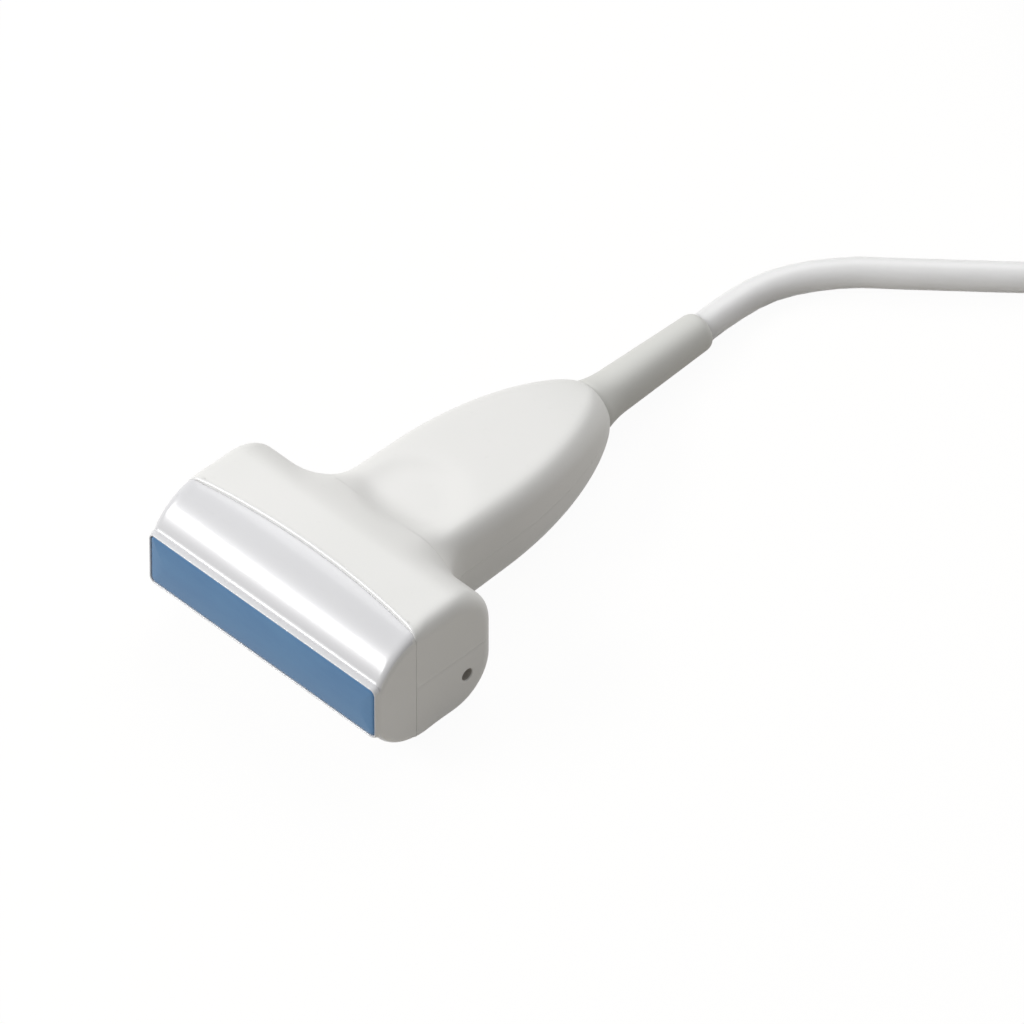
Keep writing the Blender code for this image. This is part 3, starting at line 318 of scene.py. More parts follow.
PER_MM = 1000.0
RGBA = {"data_type": "RGBA"}
print("a mid grey of 808080 is", round(linear("808080")[0], 3), "in linear light")

# %% [markdown]
# Moulded plastics
#
# The housing halves are moulded in a white PBT-ABS blend against a fine spark-eroded tool, which leaves a
# satin skin: tiny pits of a few hundredths of a millimetre that spread the highlight. The nose is moulded
# against a polished tool, so it mirrors the lamps in long soft bands. The pits are too fine to show at
# this size, so they are drawn at about a third of a millimetre and kept very shallow. Handling adds two
# more things: a slow, hardly visible change of tone over some centimetres, and slight dirt where an edge
# is rubbed. Edges are found by comparing the surface's normal with the same normal rounded over half a
# millimetre.

# %% Plastics
MOTTLE_MM, SPECK_MM, DIRT = 38.0, 1.6, "8F8A80"
GLOSS_SPREAD, RUBBED, EDGE_ROUND = 0.04, 0.25, 0.0005


def moulded(name, base, shade, rough, grain_mm, grain_depth_mm, coat=0.0, soft=0.0):
    made, tree, place = new_material(name)
    slow = add(tree, "ShaderNodeTexNoise", Vector=place, Scale=PER_MM / MOTTLE_MM, Detail=3.0, Roughness=0.55)
    fine = add(tree, "ShaderNodeTexNoise", Vector=place, Scale=PER_MM / grain_mm, Detail=2.0, Roughness=0.6)
    specks = add(tree, "ShaderNodeTexNoise", Vector=place, Scale=PER_MM / SPECK_MM, Detail=2.0, Roughness=0.5)
    tone = add(tree, "ShaderNodeMapRange", Value=slow.outputs["Fac"], From_Min=0.15, From_Max=0.85)
    colour = add(tree, "ShaderNodeMix", RGBA, i0=tone.outputs[0], i6=linear(base), i7=linear(shade))
    speck = add(tree, "ShaderNodeMapRange", Value=specks.outputs["Fac"], From_Min=0.66, From_Max=0.78,
                To_Max=0.03)
    colour = add(tree, "ShaderNodeMix", RGBA, i0=speck.outputs[0], i6=colour.outputs[2], i7=linear(DIRT))
    round_edge = add(tree, "ShaderNodeBevel", {"samples": 4}, Radius=EDGE_ROUND)
    normal = add(tree, "ShaderNodeNewGeometry").outputs["Normal"]
    match = add(tree, "ShaderNodeVectorMath", {"operation": "DOT_PRODUCT"}, i0=round_edge.outputs[0],
                i1=normal)
    rubbed = add(tree, "ShaderNodeMapRange", Value=match.outputs["Value"], From_Min=0.99, From_Max=0.90,
                 To_Max=RUBBED)
    colour = add(tree, "ShaderNodeMix", RGBA, i0=rubbed.outputs[0], i6=colour.outputs[2], i7=linear(shade))
    gloss = add(tree, "ShaderNodeMapRange", Value=slow.outputs["Fac"], From_Min=0.15, From_Max=0.85,
                To_Min=rough - GLOSS_SPREAD, To_Max=rough + GLOSS_SPREAD)
    bump = add(tree, "ShaderNodeBump", Height=fine.outputs["Fac"], Distance=grain_depth_mm / 1000,
               Strength=1.0)
    shader = add(tree, "ShaderNodeBsdfPrincipled", Base_Color=colour.outputs[2], Roughness=gloss.outputs[0],
                 Normal=bump.outputs[0], IOR=1.52, Coat_Weight=coat, Coat_Roughness=0.13,
                 Subsurface_Weight=soft, Subsurface_Radius=(0.005, 0.005, 0.005), Subsurface_Scale=1.0)
    close(tree, shader)
    return made


satin_white = moulded("spark_eroded_pbt", "EAE9E7", "E4E4E1", 0.46, 0.33, 0.004)
polished_white = moulded("polished_pbt", "DEDEE0", "DADADC", 0.30, 0.60, 0.0006, coat=0.3)
# The housing's lip is glossier, and its lighter base colour is a painted highlight for the bright line along
# the seam.
glossy_lip_painted_highlight = moulded("glossy_lip_pbt_painted_highlight", "F0F0EF", "EAEAE9", 0.26, 0.60, 0.0006, coat=0.5)
# The sockets' faces get this darker grey as painted shade in their recess.
socket_painted_shade = moulded("painted_shade_in_the_sockets", "BCB8B2", "AFABA5", 0.60, 0.40, 0.010)
sleeve_rubber = moulded("moulded_tpe", "DADAD6", "D3D3CF", 0.58, 0.30, 0.005)
jacket = moulded("extruded_pvc", "E8E8E8", "E4E4E4", 0.42, 1.10, 0.003, soft=1.0)
connector_shell = moulded("moulded_abs", "DCDCDA", "D7D7D5", 0.48, 0.35, 0.006)
contact_resin = moulded("glass_filled_lcp", "24262B", "1E2024", 0.50, 0.40, 0.008)
print("plastics made:", sum(m.use_nodes for m in bpy.data.materials))

# %% [markdown]
# Silicone lens
#
# The lens is a room-temperature-vulcanised silicone, cast over the array and coloured blue all through.
# It is smooth but dead to the touch: broad weak highlights and a very fine clouding where gel has been
# wiped from it thousands of times. The wiping runs along the strip, so the clouding is stretched that
# way.

# %% Lens material
LENS_BLUE, WIPED_BLUE = "527EAA", "5C87B0"
CLOUD_MM, DUST_MM = 5.0, 0.5
lens_silicone, tree, place = new_material("blue_rtv_silicone")
stretch = add(tree, "ShaderNodeMapping", Vector=place, Scale=(0.35, 1.0, 1.0))
cloud = add(tree, "ShaderNodeTexNoise", Vector=stretch.outputs[0], Scale=PER_MM / CLOUD_MM, Detail=5.0,
            Roughness=0.6)
wiped = add(tree, "ShaderNodeMapRange", Value=cloud.outputs["Fac"], From_Min=0.3, From_Max=0.7)
colour = add(tree, "ShaderNodeMix", RGBA, i0=wiped.outputs[0], i6=linear(LENS_BLUE), i7=linear(WIPED_BLUE))
dust = add(tree, "ShaderNodeTexNoise", Vector=place, Scale=PER_MM / DUST_MM, Detail=2.0)
gloss = add(tree, "ShaderNodeMapRange", Value=cloud.outputs["Fac"], From_Min=0.3, From_Max=0.7,
            To_Min=0.34, To_Max=0.44)
bump = add(tree, "ShaderNodeBump", Height=dust.outputs["Fac"], Distance=0.000003, Strength=1.0)
shader = add(tree, "ShaderNodeBsdfPrincipled", Base_Color=colour.outputs[2], Roughness=gloss.outputs[0],
             Normal=bump.outputs[0], IOR=1.41)
close(tree, shader)
print("lens blue in linear light:", [round(v, 3) for v in linear(LENS_BLUE)[:3]])

# %% [markdown]
# Hook-and-loop strap
#
# The straps round the coil are a knitted loop tape, grey-black and without shine. Its pile is a mat of
# tiny loops about half a millimetre apart, which catch the light from every side, so the shader has some
# sheen. Two cell patterns are laid over each other: a fine one for the loops and a coarser one for the
# tufts they lean into.

# %% Strap material
LOOP_MM, TUFT_MM = 0.55, 2.2
loop_tape, tree, place = new_material("knitted_loop_tape")
loops = add(tree, "ShaderNodeTexVoronoi", Vector=place, Scale=PER_MM / LOOP_MM)
tufts = add(tree, "ShaderNodeTexNoise", Vector=place, Scale=PER_MM / TUFT_MM, Detail=3.0)
both = add(tree, "ShaderNodeMath", {"operation": "MULTIPLY"}, i0=loops.outputs["Distance"],
           i1=tufts.outputs["Fac"])
tone = add(tree, "ShaderNodeMapRange", Value=both.outputs[0], From_Min=0.05, From_Max=0.4)
colour = add(tree, "ShaderNodeMix", RGBA, i0=tone.outputs[0], i6=linear("26282B"), i7=linear("45484C"))
bump = add(tree, "ShaderNodeBump", Height=both.outputs[0], Distance=0.00025, Strength=1.0)
shader = add(tree, "ShaderNodeBsdfPrincipled", Base_Color=colour.outputs[2], Roughness=0.9,
             Normal=bump.outputs[0], Sheen_Weight=0.35, Sheen_Roughness=0.5)
close(tree, shader)
print("loops to a millimetre:", round(1 / LOOP_MM, 1))

# %% [markdown]
# The housing's form
#
# The head is a wedge that rises from the thin nose to a crest and rounds over at the back; the handle is
# a flattened tapering bar. In the real moulding they melt into each other, with a shallow scoop for the
# thumb. A subdivision surface could come close, but its neck is hard to steer. So each form is written as
# a distance to its surface, and the two are blended where they meet; a skin is then drawn over the
# result, ring by ring.

# %% Sizes of the housing
GAP = 0.0003
WALL = 0.0021
HEAD_WIDTH, HEAD_DEPTH, HEAD_THICKNESS = 0.0640, 0.0318, 0.0304
HEAD_REAR_RADIUS, HEAD_CREST_RADIUS = 0.0110, 0.0080
NOSE_EDGE_RADIUS, HEAD_EDGE_RADIUS, HEAD_EDGE_RUN = 0.0015, 0.0033, 0.0180
NOSE_THICKNESS, NOSE_SLOPE = 0.0143, math.radians(60.0)
NOSE_LENGTH, NOSE_SEAM_BOW = 0.0089, 0.0037
HANDLE_LENGTH, HANDLE_ROOT, HANDLE_WIDTH, HANDLE_THICKNESS = 0.0899, 0.0270, 0.0316, 0.0212
HANDLE_EDGE_RADIUS, HANDLE_TAPER_START, HANDLE_BLEND, HANDLE_END_RADIUS = 0.0050, 0.0520, 0.0085, 0.0059
SCOOP_DEPTH, SCOOP_RADIUS, SCOOP_CENTRE = 0.0009, 0.0100, 0.0405
LENS_THICKNESS, LENS_PROUD = 0.0124, 0.0016
print("the housing, mm:", round(1000 * HEAD_WIDTH), "wide and", round(1000 * HANDLE_LENGTH, 1), "long")


# %% Distance to the housing's surface
def round_corner(a, b, radius):
    outside = np.hypot(np.maximum(a + radius, 0), np.maximum(b + radius, 0))
    return outside + np.minimum(np.maximum(a, b) + radius, 0) - radius


def head_form(x, y, z):
    rise = (np.abs(z) - NOSE_THICKNESS / 2) * math.cos(NOSE_SLOPE) - y * math.sin(NOSE_SLOPE)
    back = round_corner(np.abs(z) - HEAD_THICKNESS / 2, y - HEAD_DEPTH, HEAD_REAR_RADIUS)
    profile = round_corner(rise, back, HEAD_CREST_RADIUS)
    grown = np.clip(y / HEAD_EDGE_RUN, 0, 1)
    edge = NOSE_EDGE_RADIUS + (HEAD_EDGE_RADIUS - NOSE_EDGE_RADIUS) * grown**2 * (3 - 2 * grown)
    return round_corner(profile, np.abs(x) - HEAD_WIDTH / 2, edge)


def handle_form(x, y, z):
    along = np.clip((y - HANDLE_TAPER_START) / (HANDLE_LENGTH - HANDLE_TAPER_START), 0, 1)
    run = np.clip((y - HANDLE_ROOT) / (HANDLE_LENGTH - HANDLE_ROOT), 0, 1)
    width = HANDLE_END_RADIUS + (HANDLE_WIDTH / 2 - HANDLE_END_RADIUS) * (1 - along**2) ** 0.8
    height = HANDLE_END_RADIUS + (HANDLE_THICKNESS / 2 - HANDLE_END_RADIUS) * (1 - run**1.2) ** 0.5
    edge = HANDLE_EDGE_RADIUS + (HANDLE_END_RADIUS - HANDLE_EDGE_RADIUS) * along**4
    section = round_corner(np.abs(x) - width, np.abs(z) - height, edge)
    return round_corner(section, HANDLE_ROOT - y, HANDLE_EDGE_RADIUS)


def housing_form(x, y, z):
    head, handle = head_form(x, y, z), handle_form(x, y, z)
    overlap = np.maximum(HANDLE_BLEND - np.abs(head - handle), 0) / HANDLE_BLEND
    reach = np.hypot(x, y - SCOOP_CENTRE) / SCOOP_RADIUS
    return np.minimum(head, handle) - HANDLE_BLEND / 4 * overlap**2 + SCOOP_DEPTH * np.exp(-(reach**6))


print("half height of the crest, mm:", round(1000 * HEAD_THICKNESS / 2, 2))

# %% [markdown]
# Rings over the form
#
# One ring is a closed loop round the probe. Its points are found by sending rays outwards from inside the
# form and halving the step until they stop at the surface, which never misses. The rays fan out closely
# at the rounded edges and lie further apart on the flats. The ring may bow, so that a seam that curves
# across the head is simply one of the rings.

# %% Ring of points on the form
SEAM_REACH = HEAD_WIDTH / 2 + 0.005
FAN = np.radians(list(range(0, 32, 4)) + list(range(32, 60, 2)) + list(range(60, 90, 4)))
SHARES = np.linspace(1, 0, 25)[:-1]
FADE, AT_THE_END = 0.0040, 0.10
HALVINGS, WIDEST_PIVOT = 34, 0.9


def cast(base, direction, station, bow, inset, tuck, back):
    """Points on the form. The tuck and the step back almost vanish towards the flat ends of the head."""
    def along(x):
        near_end = np.clip((HEAD_WIDTH / 2 - np.abs(x)) / FADE, 0, 1)
        shown = AT_THE_END + (1 - AT_THE_END) * near_end**2 * (3 - 2 * near_end)
        return station + back * shown + bow * (1 - (x / SEAM_REACH) ** 2), shown

    low, high = np.zeros(len(base)), np.full(len(base), HEAD_WIDTH)
    for _ in range(HALVINGS):
        middle = (low + high) / 2
        x, z = (base + direction * middle[:, None]).T
        y, shown = along(x)
        inside = housing_form(x, y, z) + inset + tuck * shown < 0
        low, high = np.where(inside, middle, low), np.where(inside, high, middle)
    x, z = (base + direction * low[:, None]).T
    return np.stack([x, along(x)[0], z], axis=1)


def ring(station, bow=0.0, inset=0.0, tuck=0.0, back=0.0):
    how = (station, bow, inset, tuck, back)
    right = cast(np.zeros((1, 2)), np.array([[1.0, 0.0]]), *how)[0, 0]
    top = cast(np.zeros((1, 2)), np.array([[0.0, 1.0]]), *how)[0, 2]
    pivot = right - min(top, WIDEST_PIVOT * right)
    base = np.array([[pivot, 0.0]] * len(FAN) + [[pivot * share, 0.0] for share in SHARES])
    fan = np.stack([np.cos(FAN), np.sin(FAN)], axis=1)
    quarter = cast(base, np.concatenate([fan, [[0.0, 1.0]] * len(SHARES)]), *how)
    crown = cast(np.zeros((1, 2)), np.array([[0.0, 1.0]]), *how)
    half = np.concatenate([quarter, crown, quarter[::-1] * (-1, 1, 1)])
    return np.concatenate([half, half[1:-1][::-1] * (1, 1, -1)])


print("points in one ring:", len(ring(0.010)))

# %% [markdown]
# Skins by extrusion
#
# A skin starts as one circle of edges. Its points are set on the first ring, then the loop is extruded
# and the new loop is set on the next ring, over and over, which is how a loft is drawn by hand. A shell
# has an outer and an inner skin and a rolled edge between them, so it closes on itself.

# %% Extruding a skin
WELD = 0.000002


def skin(rings, closed=True):
    """Extrudes a loop from ring to ring. Closed joins the last ring to the first; open gets two caps."""
    edit = bmesh.new()
    bmesh.ops.create_circle(edit, segments=len(rings[0]), radius=0.01)
    edit.verts.ensure_lookup_table()
    loop = list(edit.verts)
    edges = list(edit.edges)
    for vertex, point in zip(loop, rings[0]):
        vertex.co = point
    first = list(edges)
    for points in rings[1:]:
        made = bmesh.ops.extrude_edge_only(edit, edges=edges)["geom"]
        fresh = {item for item in made if isinstance(item, bmesh.types.BMVert)}
        edges = [item for item in made if isinstance(item, bmesh.types.BMEdge)]
        edges = [edge for edge in edges if all(v in fresh for v in edge.verts)]
        follow = {}
        for vertex in loop:
            for edge in vertex.link_edges:
                other = edge.other_vert(vertex)
                if other in fresh:
                    follow[vertex] = other
        loop = [follow[vertex] for vertex in loop]
        for vertex, point in zip(loop, points):
            vertex.co = point
    if closed:
        bmesh.ops.bridge_loops(edit, edges=first + edges)
    else:
        bmesh.ops.holes_fill(edit, edges=[e for e in edit.edges if e.is_boundary], sides=0)
    return edit


def place_mesh(edit, name, surface, sharp=40.0, move=LAY_DOWN):
    """Turns the edit mesh into an object at the origin, with its place in its points."""
    bmesh.ops.remove_doubles(edit, verts=edit.verts, dist=WELD)
    bmesh.ops.recalc_face_normals(edit, faces=edit.faces)
    bmesh.ops.transform(edit, matrix=move, verts=edit.verts)
    mesh = bpy.data.meshes.new(name)
    edit.to_mesh(mesh)
    edit.free()
    mesh.shade_smooth()
    mesh.set_sharp_from_angle(angle=math.radians(sharp))
    mesh.materials.append(surface)
    made = bpy.data.objects.new(name, mesh)
    bpy.context.scene.collection.objects.link(made)
    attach(made, "root")
    print(name, "faces:", len(mesh.polygons))
    return made


# %% [markdown]
# Nose piece
#
# The nose is a separate glossy moulding that frames the lens. Its back edge bows towards the handle in
# the middle, and tucks half a millimetre below the housing's rounded lip, which shows as a fine bright
# line; the lip also gets a lighter colour that paints part of that highlight. Both run out at the flat
# ends, where the two mouldings are flush and the seam is a hair. At the front a thin collar stands
# forward round the lens and is chamfered, which gives the pale border that the lens has above it and at
# its end.

# %% Outline of the collar
TUCK, TUCK_LENGTH = 0.00060, 0.0055
COLLAR = 0.0013
LENS_HALF = (HEAD_WIDTH / 2 - 0.0008, LENS_THICKNESS / 2)


def outline(half_width, half_height, radius, station):
    """A rounded rectangle with as many points as a ring has, in the same order."""
    angles = np.concatenate([FAN, np.full(len(SHARES) + 1, math.pi / 2)])
    pivot = half_width - half_height
    start = np.array([[pivot, 0.0]] * len(FAN) + [[pivot * share, 0.0] for share in SHARES] + [[0.0, 0.0]])
    direction = np.stack([np.cos(angles), np.sin(angles)], axis=1)
    low, high = np.zeros(len(start)), np.full(len(start), HEAD_WIDTH)
    for _ in range(HALVINGS):
        middle = (low + high) / 2
        x, z = (start + direction * middle[:, None]).T
        inside = round_corner(np.abs(x) - half_width, np.abs(z) - half_height, radius) < 0
        low, high = np.where(inside, middle, low), np.where(inside, high, middle)
    x, z = (start + direction * low[:, None]).T
    quarter = np.stack([x, np.full(len(x), station), z], axis=1)
    half = np.concatenate([quarter, quarter[:-1][::-1] * (-1, 1, 1)])
    return np.concatenate([half, half[1:-1][::-1] * (1, 1, -1)])


def nose_ring(share, inset=0.0):
    tuck = TUCK * max(0.0, 1 - (1 - share) * NOSE_LENGTH / TUCK_LENGTH) ** 2
    return ring(share * NOSE_LENGTH, share * NOSE_SEAM_BOW, inset, tuck)


# %% Nose skin
QUARTER = np.radians([0, 22, 45, 67, 90])
FLAT_END = 0.8
half_x, half_z = LENS_HALF
rings = [nose_ring(share) for share in np.linspace(0, 1, 28)]
rings += [nose_ring(1.0, 0.0004)]
rings += [nose_ring(share, WALL) for share in np.linspace(1, 0.35, 8)]
collar = (
    (0.0002, 0.0001, 0.0012, 0.0022),
    (0.0002, 0.0001, 0.0012, 0.0010),
    (0.0002, 0.0001, 0.0012, 0.0),
    (0.0002, 0.0001, 0.0012, -COLLAR + 0.0001),
    (0.0003, 0.0002, 0.0013, -COLLAR),
    (0.0004, 0.00035, 0.0014, -COLLAR),
    (0.0005, 0.00045, 0.0015, -COLLAR + 0.00012),
)
rings += [outline(half_x + wider, half_z + higher, corner, y) for wider, higher, corner, y in collar]
rings += [outline(HEAD_WIDTH / 2 - 0.00004, NOSE_THICKNESS / 2 - 0.0001, 0.0015, -0.00025)]
nose = place_mesh(skin(rings), "glossy_nose", polished_white)
nose.data.materials.append(satin_white)
for face in nose.data.polygons:
    if abs(face.normal.x) > FLAT_END:
        face.material_index = 1
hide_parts("nose_piece")

# %% [markdown]
# Housing halves
#
# The housing is two half shells that meet on the middle plane and are glued round the array and the
# board. The whole shell is drawn once. A copy is cut a hair above the plane for the upper half and
# another a hair below for the lower, the cut walls are closed, and the outer edge is rounded, which
# leaves the very fine groove that a well-made parting line has.

# %% Stations of the housing
BACK_ROUND, NECK_RUN, NECK_END, TAIL_ROUND, BOW_FADE = 0.012, 0.013, 0.0142, 0.004, 0.014
BEAD, BEAD_WIDTH, LIP = 0.00016, 0.0012, 0.00065
crest = HEAD_DEPTH - BACK_ROUND - NOSE_LENGTH
stations = [NOSE_LENGTH + crest * t for t in np.linspace(0.06, 1, 14)]
stations += list(HEAD_DEPTH - BACK_ROUND * (1 - np.sin(np.radians(np.linspace(5, 86, 26)))))
stations += list(HEAD_DEPTH + NECK_RUN * np.linspace(0.02, 1, 30) ** 2.2)
stations += list(np.linspace(HEAD_DEPTH + NECK_END, HANDLE_LENGTH - TAIL_ROUND, 40))
stations += list(HANDLE_LENGTH - TAIL_ROUND * (1 - np.linspace(0.2, 0.93, 5)))
bows = [NOSE_SEAM_BOW * (1 - smooth((s - NOSE_LENGTH) / BOW_FADE)) for s in stations]
print("stations:", len(stations))


# %% Housing skin
def bead(station):
    """The housing's front edge stands a hair proud, fading over about a millimetre."""
    return -BEAD * max(0.0, 1 - (station - NOSE_LENGTH) / BEAD_WIDTH)


def rounding(radius):
    """Steps of (inset, distance back) over a quarter round."""
    return [(radius * (1 - math.cos(a)), radius * (1 - math.sin(a))) for a in QUARTER]


SEAM_GAP, TAIL_EDGE = 0.00003, 0.00012
start = NOSE_LENGTH + SEAM_GAP
edge = [ring(start, NOSE_SEAM_BOW, 0.0, drop - BEAD, back) for drop, back in reversed(rounding(LIP))]
outside = [ring(s, b, 0.0, bead(s)) for s, b in zip(stations, bows)]
tail = [ring(HANDLE_LENGTH - back, 0.0, inset) for inset, back in rounding(TAIL_EDGE)]
inside = [ring(s, b, WALL) for s, b in list(zip(stations, bows))[::4][::-1]]
inside.append(ring(start, NOSE_SEAM_BOW, WALL))
shell = skin(edge + outside + tail + inside)
print("rings in the housing:", len(edge) + len(outside) + len(tail) + len(inside))

# %% Cutting the shell into halves
PARTING, PARTING_ROUND = 0.000008, 0.00003
ON_SKIN, FACING_END, SHELL_SHARP = 0.0002, 0.6, 75.0


def round_edges(edit, edges, radius, segments):
    bmesh.ops.bevel(edit, geom=edges, offset=radius, offset_type="OFFSET", affect="EDGES",
                    segments=segments, profile=0.5, material=-1)


def half_shell(name, side):
    """The part of the shell above or below the parting plane, closed, with a glossy lip whose lighter colour
    is painted highlight.
    """
    edit = shell.copy()
    everything = edit.verts[:] + edit.edges[:] + edit.faces[:]
    bmesh.ops.bisect_plane(edit, geom=everything, dist=1e-8, plane_co=(0, 0, side * PARTING),
                           plane_no=(0, 0, -side), clear_outer=True)
    open_edges = [e for e in edit.edges if e.is_boundary]
    bmesh.ops.holes_fill(edit, edges=open_edges, sides=0)
    bmesh.ops.recalc_face_normals(edit, faces=edit.faces)
    outer = []
    for e in open_edges:
        middle = (e.verts[0].co + e.verts[1].co) / 2
        if abs(housing_form(middle.x, middle.y, middle.z)) < ON_SKIN:
            outer.append(e)
    round_edges(edit, outer, PARTING_ROUND, 2)
    # Faces along the lip take the glossy material, whose lighter colour paints part of the bright line.
    for face in edit.faces:
        middle = face.calc_center_median()
        seam = NOSE_LENGTH + NOSE_SEAM_BOW * (1 - (middle.x / SEAM_REACH) ** 2)
        if middle.y - seam < LIP and abs(face.normal.x) < FACING_END:
            face.material_index = 1
    made = place_mesh(edit, name, satin_white, sharp=SHELL_SHARP)
    made.data.materials.append(glossy_lip_painted_highlight)
    return made


upper = half_shell("upper_shell", 1)
lower = half_shell("lower_shell", -1)
shell.free()
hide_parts("upper_housing")
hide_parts("lower_housing")

# %% [markdown]
# Sockets for the needle guide
#
# Each flat end of the head has a small round socket, into which the bracket of a needle guide snaps. It
# is a blind hole with a broken edge and a rounded floor, and its faces are painted a darker grey as
# painted shade in the recess. Dividing the wall until a circle fits in it would spoil the flat, so a
# spun plug is taken away from the finished half with a Boolean instead.


# %% Spinning and cutting helpers
SPIN_WELD = 0.000001


def spun(profile, steps=64, axis=(0, 1, 0), closed=True):
    """Spins a profile of (radius, along) points once round the Y axis, or round Z when that is the axis."""
    edit = bmesh.new()
    points = [edit.verts.new((r, along, 0) if axis[1] else (r, 0, along)) for r, along in profile]
    pairs = list(zip(points, points[1:])) + ([(points[-1], points[0])] if closed else [])
    edges = [edit.edges.new(pair) for pair in pairs]
    bmesh.ops.spin(edit, geom=points + edges, cent=(0, 0, 0), axis=axis, angle=2 * math.pi, steps=steps,
                   use_merge=True, use_duplicate=False)
    bmesh.ops.remove_doubles(edit, verts=edit.verts, dist=SPIN_WELD)
    bmesh.ops.recalc_face_normals(edit, faces=edit.faces)
    return edit


def take_away(target, edit, sharp=40.0):
    """Cuts the finished piece by an edit mesh and keeps its smooth shading."""
    bmesh.ops.recalc_face_normals(edit, faces=edit.faces)
    mesh = bpy.data.meshes.new("cutter")
    edit.to_mesh(mesh)
    edit.free()
    cutter = bpy.data.objects.new("cutter", mesh)
    bpy.context.scene.collection.objects.link(cutter)
    modifier = target.modifiers.new("cut", "BOOLEAN")
    modifier.object, modifier.solver, modifier.operation = cutter, "EXACT", "DIFFERENCE"
    bpy.context.view_layer.update()
    graph = bpy.context.evaluated_depsgraph_get()
    made = bpy.data.meshes.new_from_object(target.evaluated_get(graph))
    target.modifiers.clear()
    surfaces = list(target.data.materials)
    target.data = made
    made.materials.clear()
    for surface in surfaces:
        made.materials.append(surface)
    made.shade_smooth()
    made.set_sharp_from_angle(angle=math.radians(sharp))
    bpy.data.objects.remove(cutter)
    return target


# %% The two sockets
SOCKET_RADIUS, SOCKET_DEPTH = 0.00140, 0.0018
SOCKET_PLACE = (0.0240, -0.0060)
PLUG_OUT, PLUG_SKIRT, PLUG_STEP = 0.0010, 0.0004, 0.00003
MOUTH_ROUND, FLOOR_ROUND = 0.0003, 0.0005
skirt = SOCKET_RADIUS + PLUG_SKIRT
plug = [(0.0, -PLUG_OUT), (skirt, -PLUG_OUT), (skirt, -PLUG_STEP)]
for a in QUARTER[1:]:
    plug.append((SOCKET_RADIUS + MOUTH_ROUND * (1 - math.sin(a)), MOUTH_ROUND * (1 - math.cos(a))))
for a in QUARTER:
    inward, upward = FLOOR_ROUND * (1 - math.cos(a)), FLOOR_ROUND * (1 - math.sin(a))
    plug.append((SOCKET_RADIUS - inward, SOCKET_DEPTH - upward))
plug += [(0.0, SOCKET_DEPTH)]
for side in (-1, 1):
    edit = spun(plug, steps=32)
    turn = Matrix.Rotation(side * math.pi / 2, 4, "Z")
    at = Matrix.Translation((side * HEAD_WIDTH / 2, *SOCKET_PLACE))
    bmesh.ops.transform(edit, matrix=LAY_DOWN @ at @ turn, verts=edit.verts)
    take_away(lower, edit, sharp=SHELL_SHARP)
print("lower half after the sockets:", len(lower.data.polygons), "faces")

# %% Painted shade in the sockets
PAST_WALL, BEHIND_MOUTH, WELL_INSIDE = 0.0001, 0.00035, 0.025
# Faces inside each socket take the darker grey: painted shade in the recess.
lower.data.materials.append(socket_painted_shade)
to_probe = LAY_DOWN.inverted()
for face in lower.data.polygons:
    centre = to_probe @ face.center
    off_axis = math.hypot(centre.y - SOCKET_PLACE[0], centre.z - SOCKET_PLACE[1])
    at_end = WELL_INSIDE < abs(centre.x) < HEAD_WIDTH / 2 - BEHIND_MOUTH
    if off_axis < SOCKET_RADIUS + PAST_WALL and at_end:
        face.material_index = 2
print("faces with painted shade:", sum(face.material_index == 2 for face in lower.data.polygons))

# %% [markdown]
# Lens
#
# The lens is cast in one piece over the array, so it has no seams. Across the strip it is slightly domed,
# which focuses the beam. Its rings are outlines that step forward out of the collar, turn over a small
# round and then close in over the dome.

# %% Lens strip
DOME, LENS_ROUND, LENS_CORNER = 0.00035, 0.0003, 0.0011
DOME_CORNER, DOME_DRAW_IN = 0.0009, 0.004
lens_front = -LENS_PROUD + DOME
side_steps = [(0.0020, 0.0), (0.0, 0.0), (lens_front + 0.0005, 0.0)]
side_steps += [(lens_front + 0.0002, 0.00008), (lens_front, LENS_ROUND)]
rings = []
for depth, margin in side_steps:
    rings.append(outline(half_x - margin, half_z - margin, LENS_CORNER - margin / 2, depth))
for share in (0.9, 0.78, 0.64, 0.48, 0.3, 0.12):
    loop = outline(half_x - LENS_ROUND, (half_z - LENS_ROUND) * share, DOME_CORNER * share, 0.0)
    limit = half_x - LENS_ROUND - (1 - share) * DOME_DRAW_IN
    loop[:, 0] = np.sign(loop[:, 0]) * np.minimum(np.abs(loop[:, 0]), limit)
    loop[:, 1] = lens_front - DOME * (1 - share**2)
    rings.append(loop)
strip = place_mesh(skin(rings, closed=False), "lens_strip", lens_silicone, sharp=60.0)
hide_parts("acoustic_lens")

# %% [markdown]
# Cable sleeve
#
# The sleeve keeps the cable from being bent sharply where it leaves the handle. It is a soft moulding: a
# flare that carries on the handle's taper, a long slim stem, and a rounded lip round the cable. Its
# profile is drawn once and spun round the probe's axis.

# %% Sleeve
RELIEF_START = HANDLE_LENGTH + GAP
RELIEF_LENGTH, RELIEF_STEM, RELIEF_TIP_RADIUS = 0.0312, 0.0048, 0.00415
BORE = RADIUS + 0.00012
SPIGOT, SPIGOT_RADIUS, FLARE_SHARE, SHADOW_GAP = 0.006, 0.0040, 0.23, 0.00006
flare = RELIEF_LENGTH * FLARE_SHARE
seat = HANDLE_LENGTH + SHADOW_GAP
profile = [(BORE, RELIEF_START - SPIGOT), (SPIGOT_RADIUS, RELIEF_START - SPIGOT), (SPIGOT_RADIUS, seat)]
profile += [(0.0056, seat), (0.00574, seat + 0.00006), (0.00578, seat + 0.0002)]
for share in np.linspace(0.12, 1, 12):
    radius = RELIEF_STEM + (HANDLE_END_RADIUS - RELIEF_STEM) * (1 - share) ** 2
    profile.append((radius, RELIEF_START + flare * share))
lip = RELIEF_TIP_RADIUS - BORE
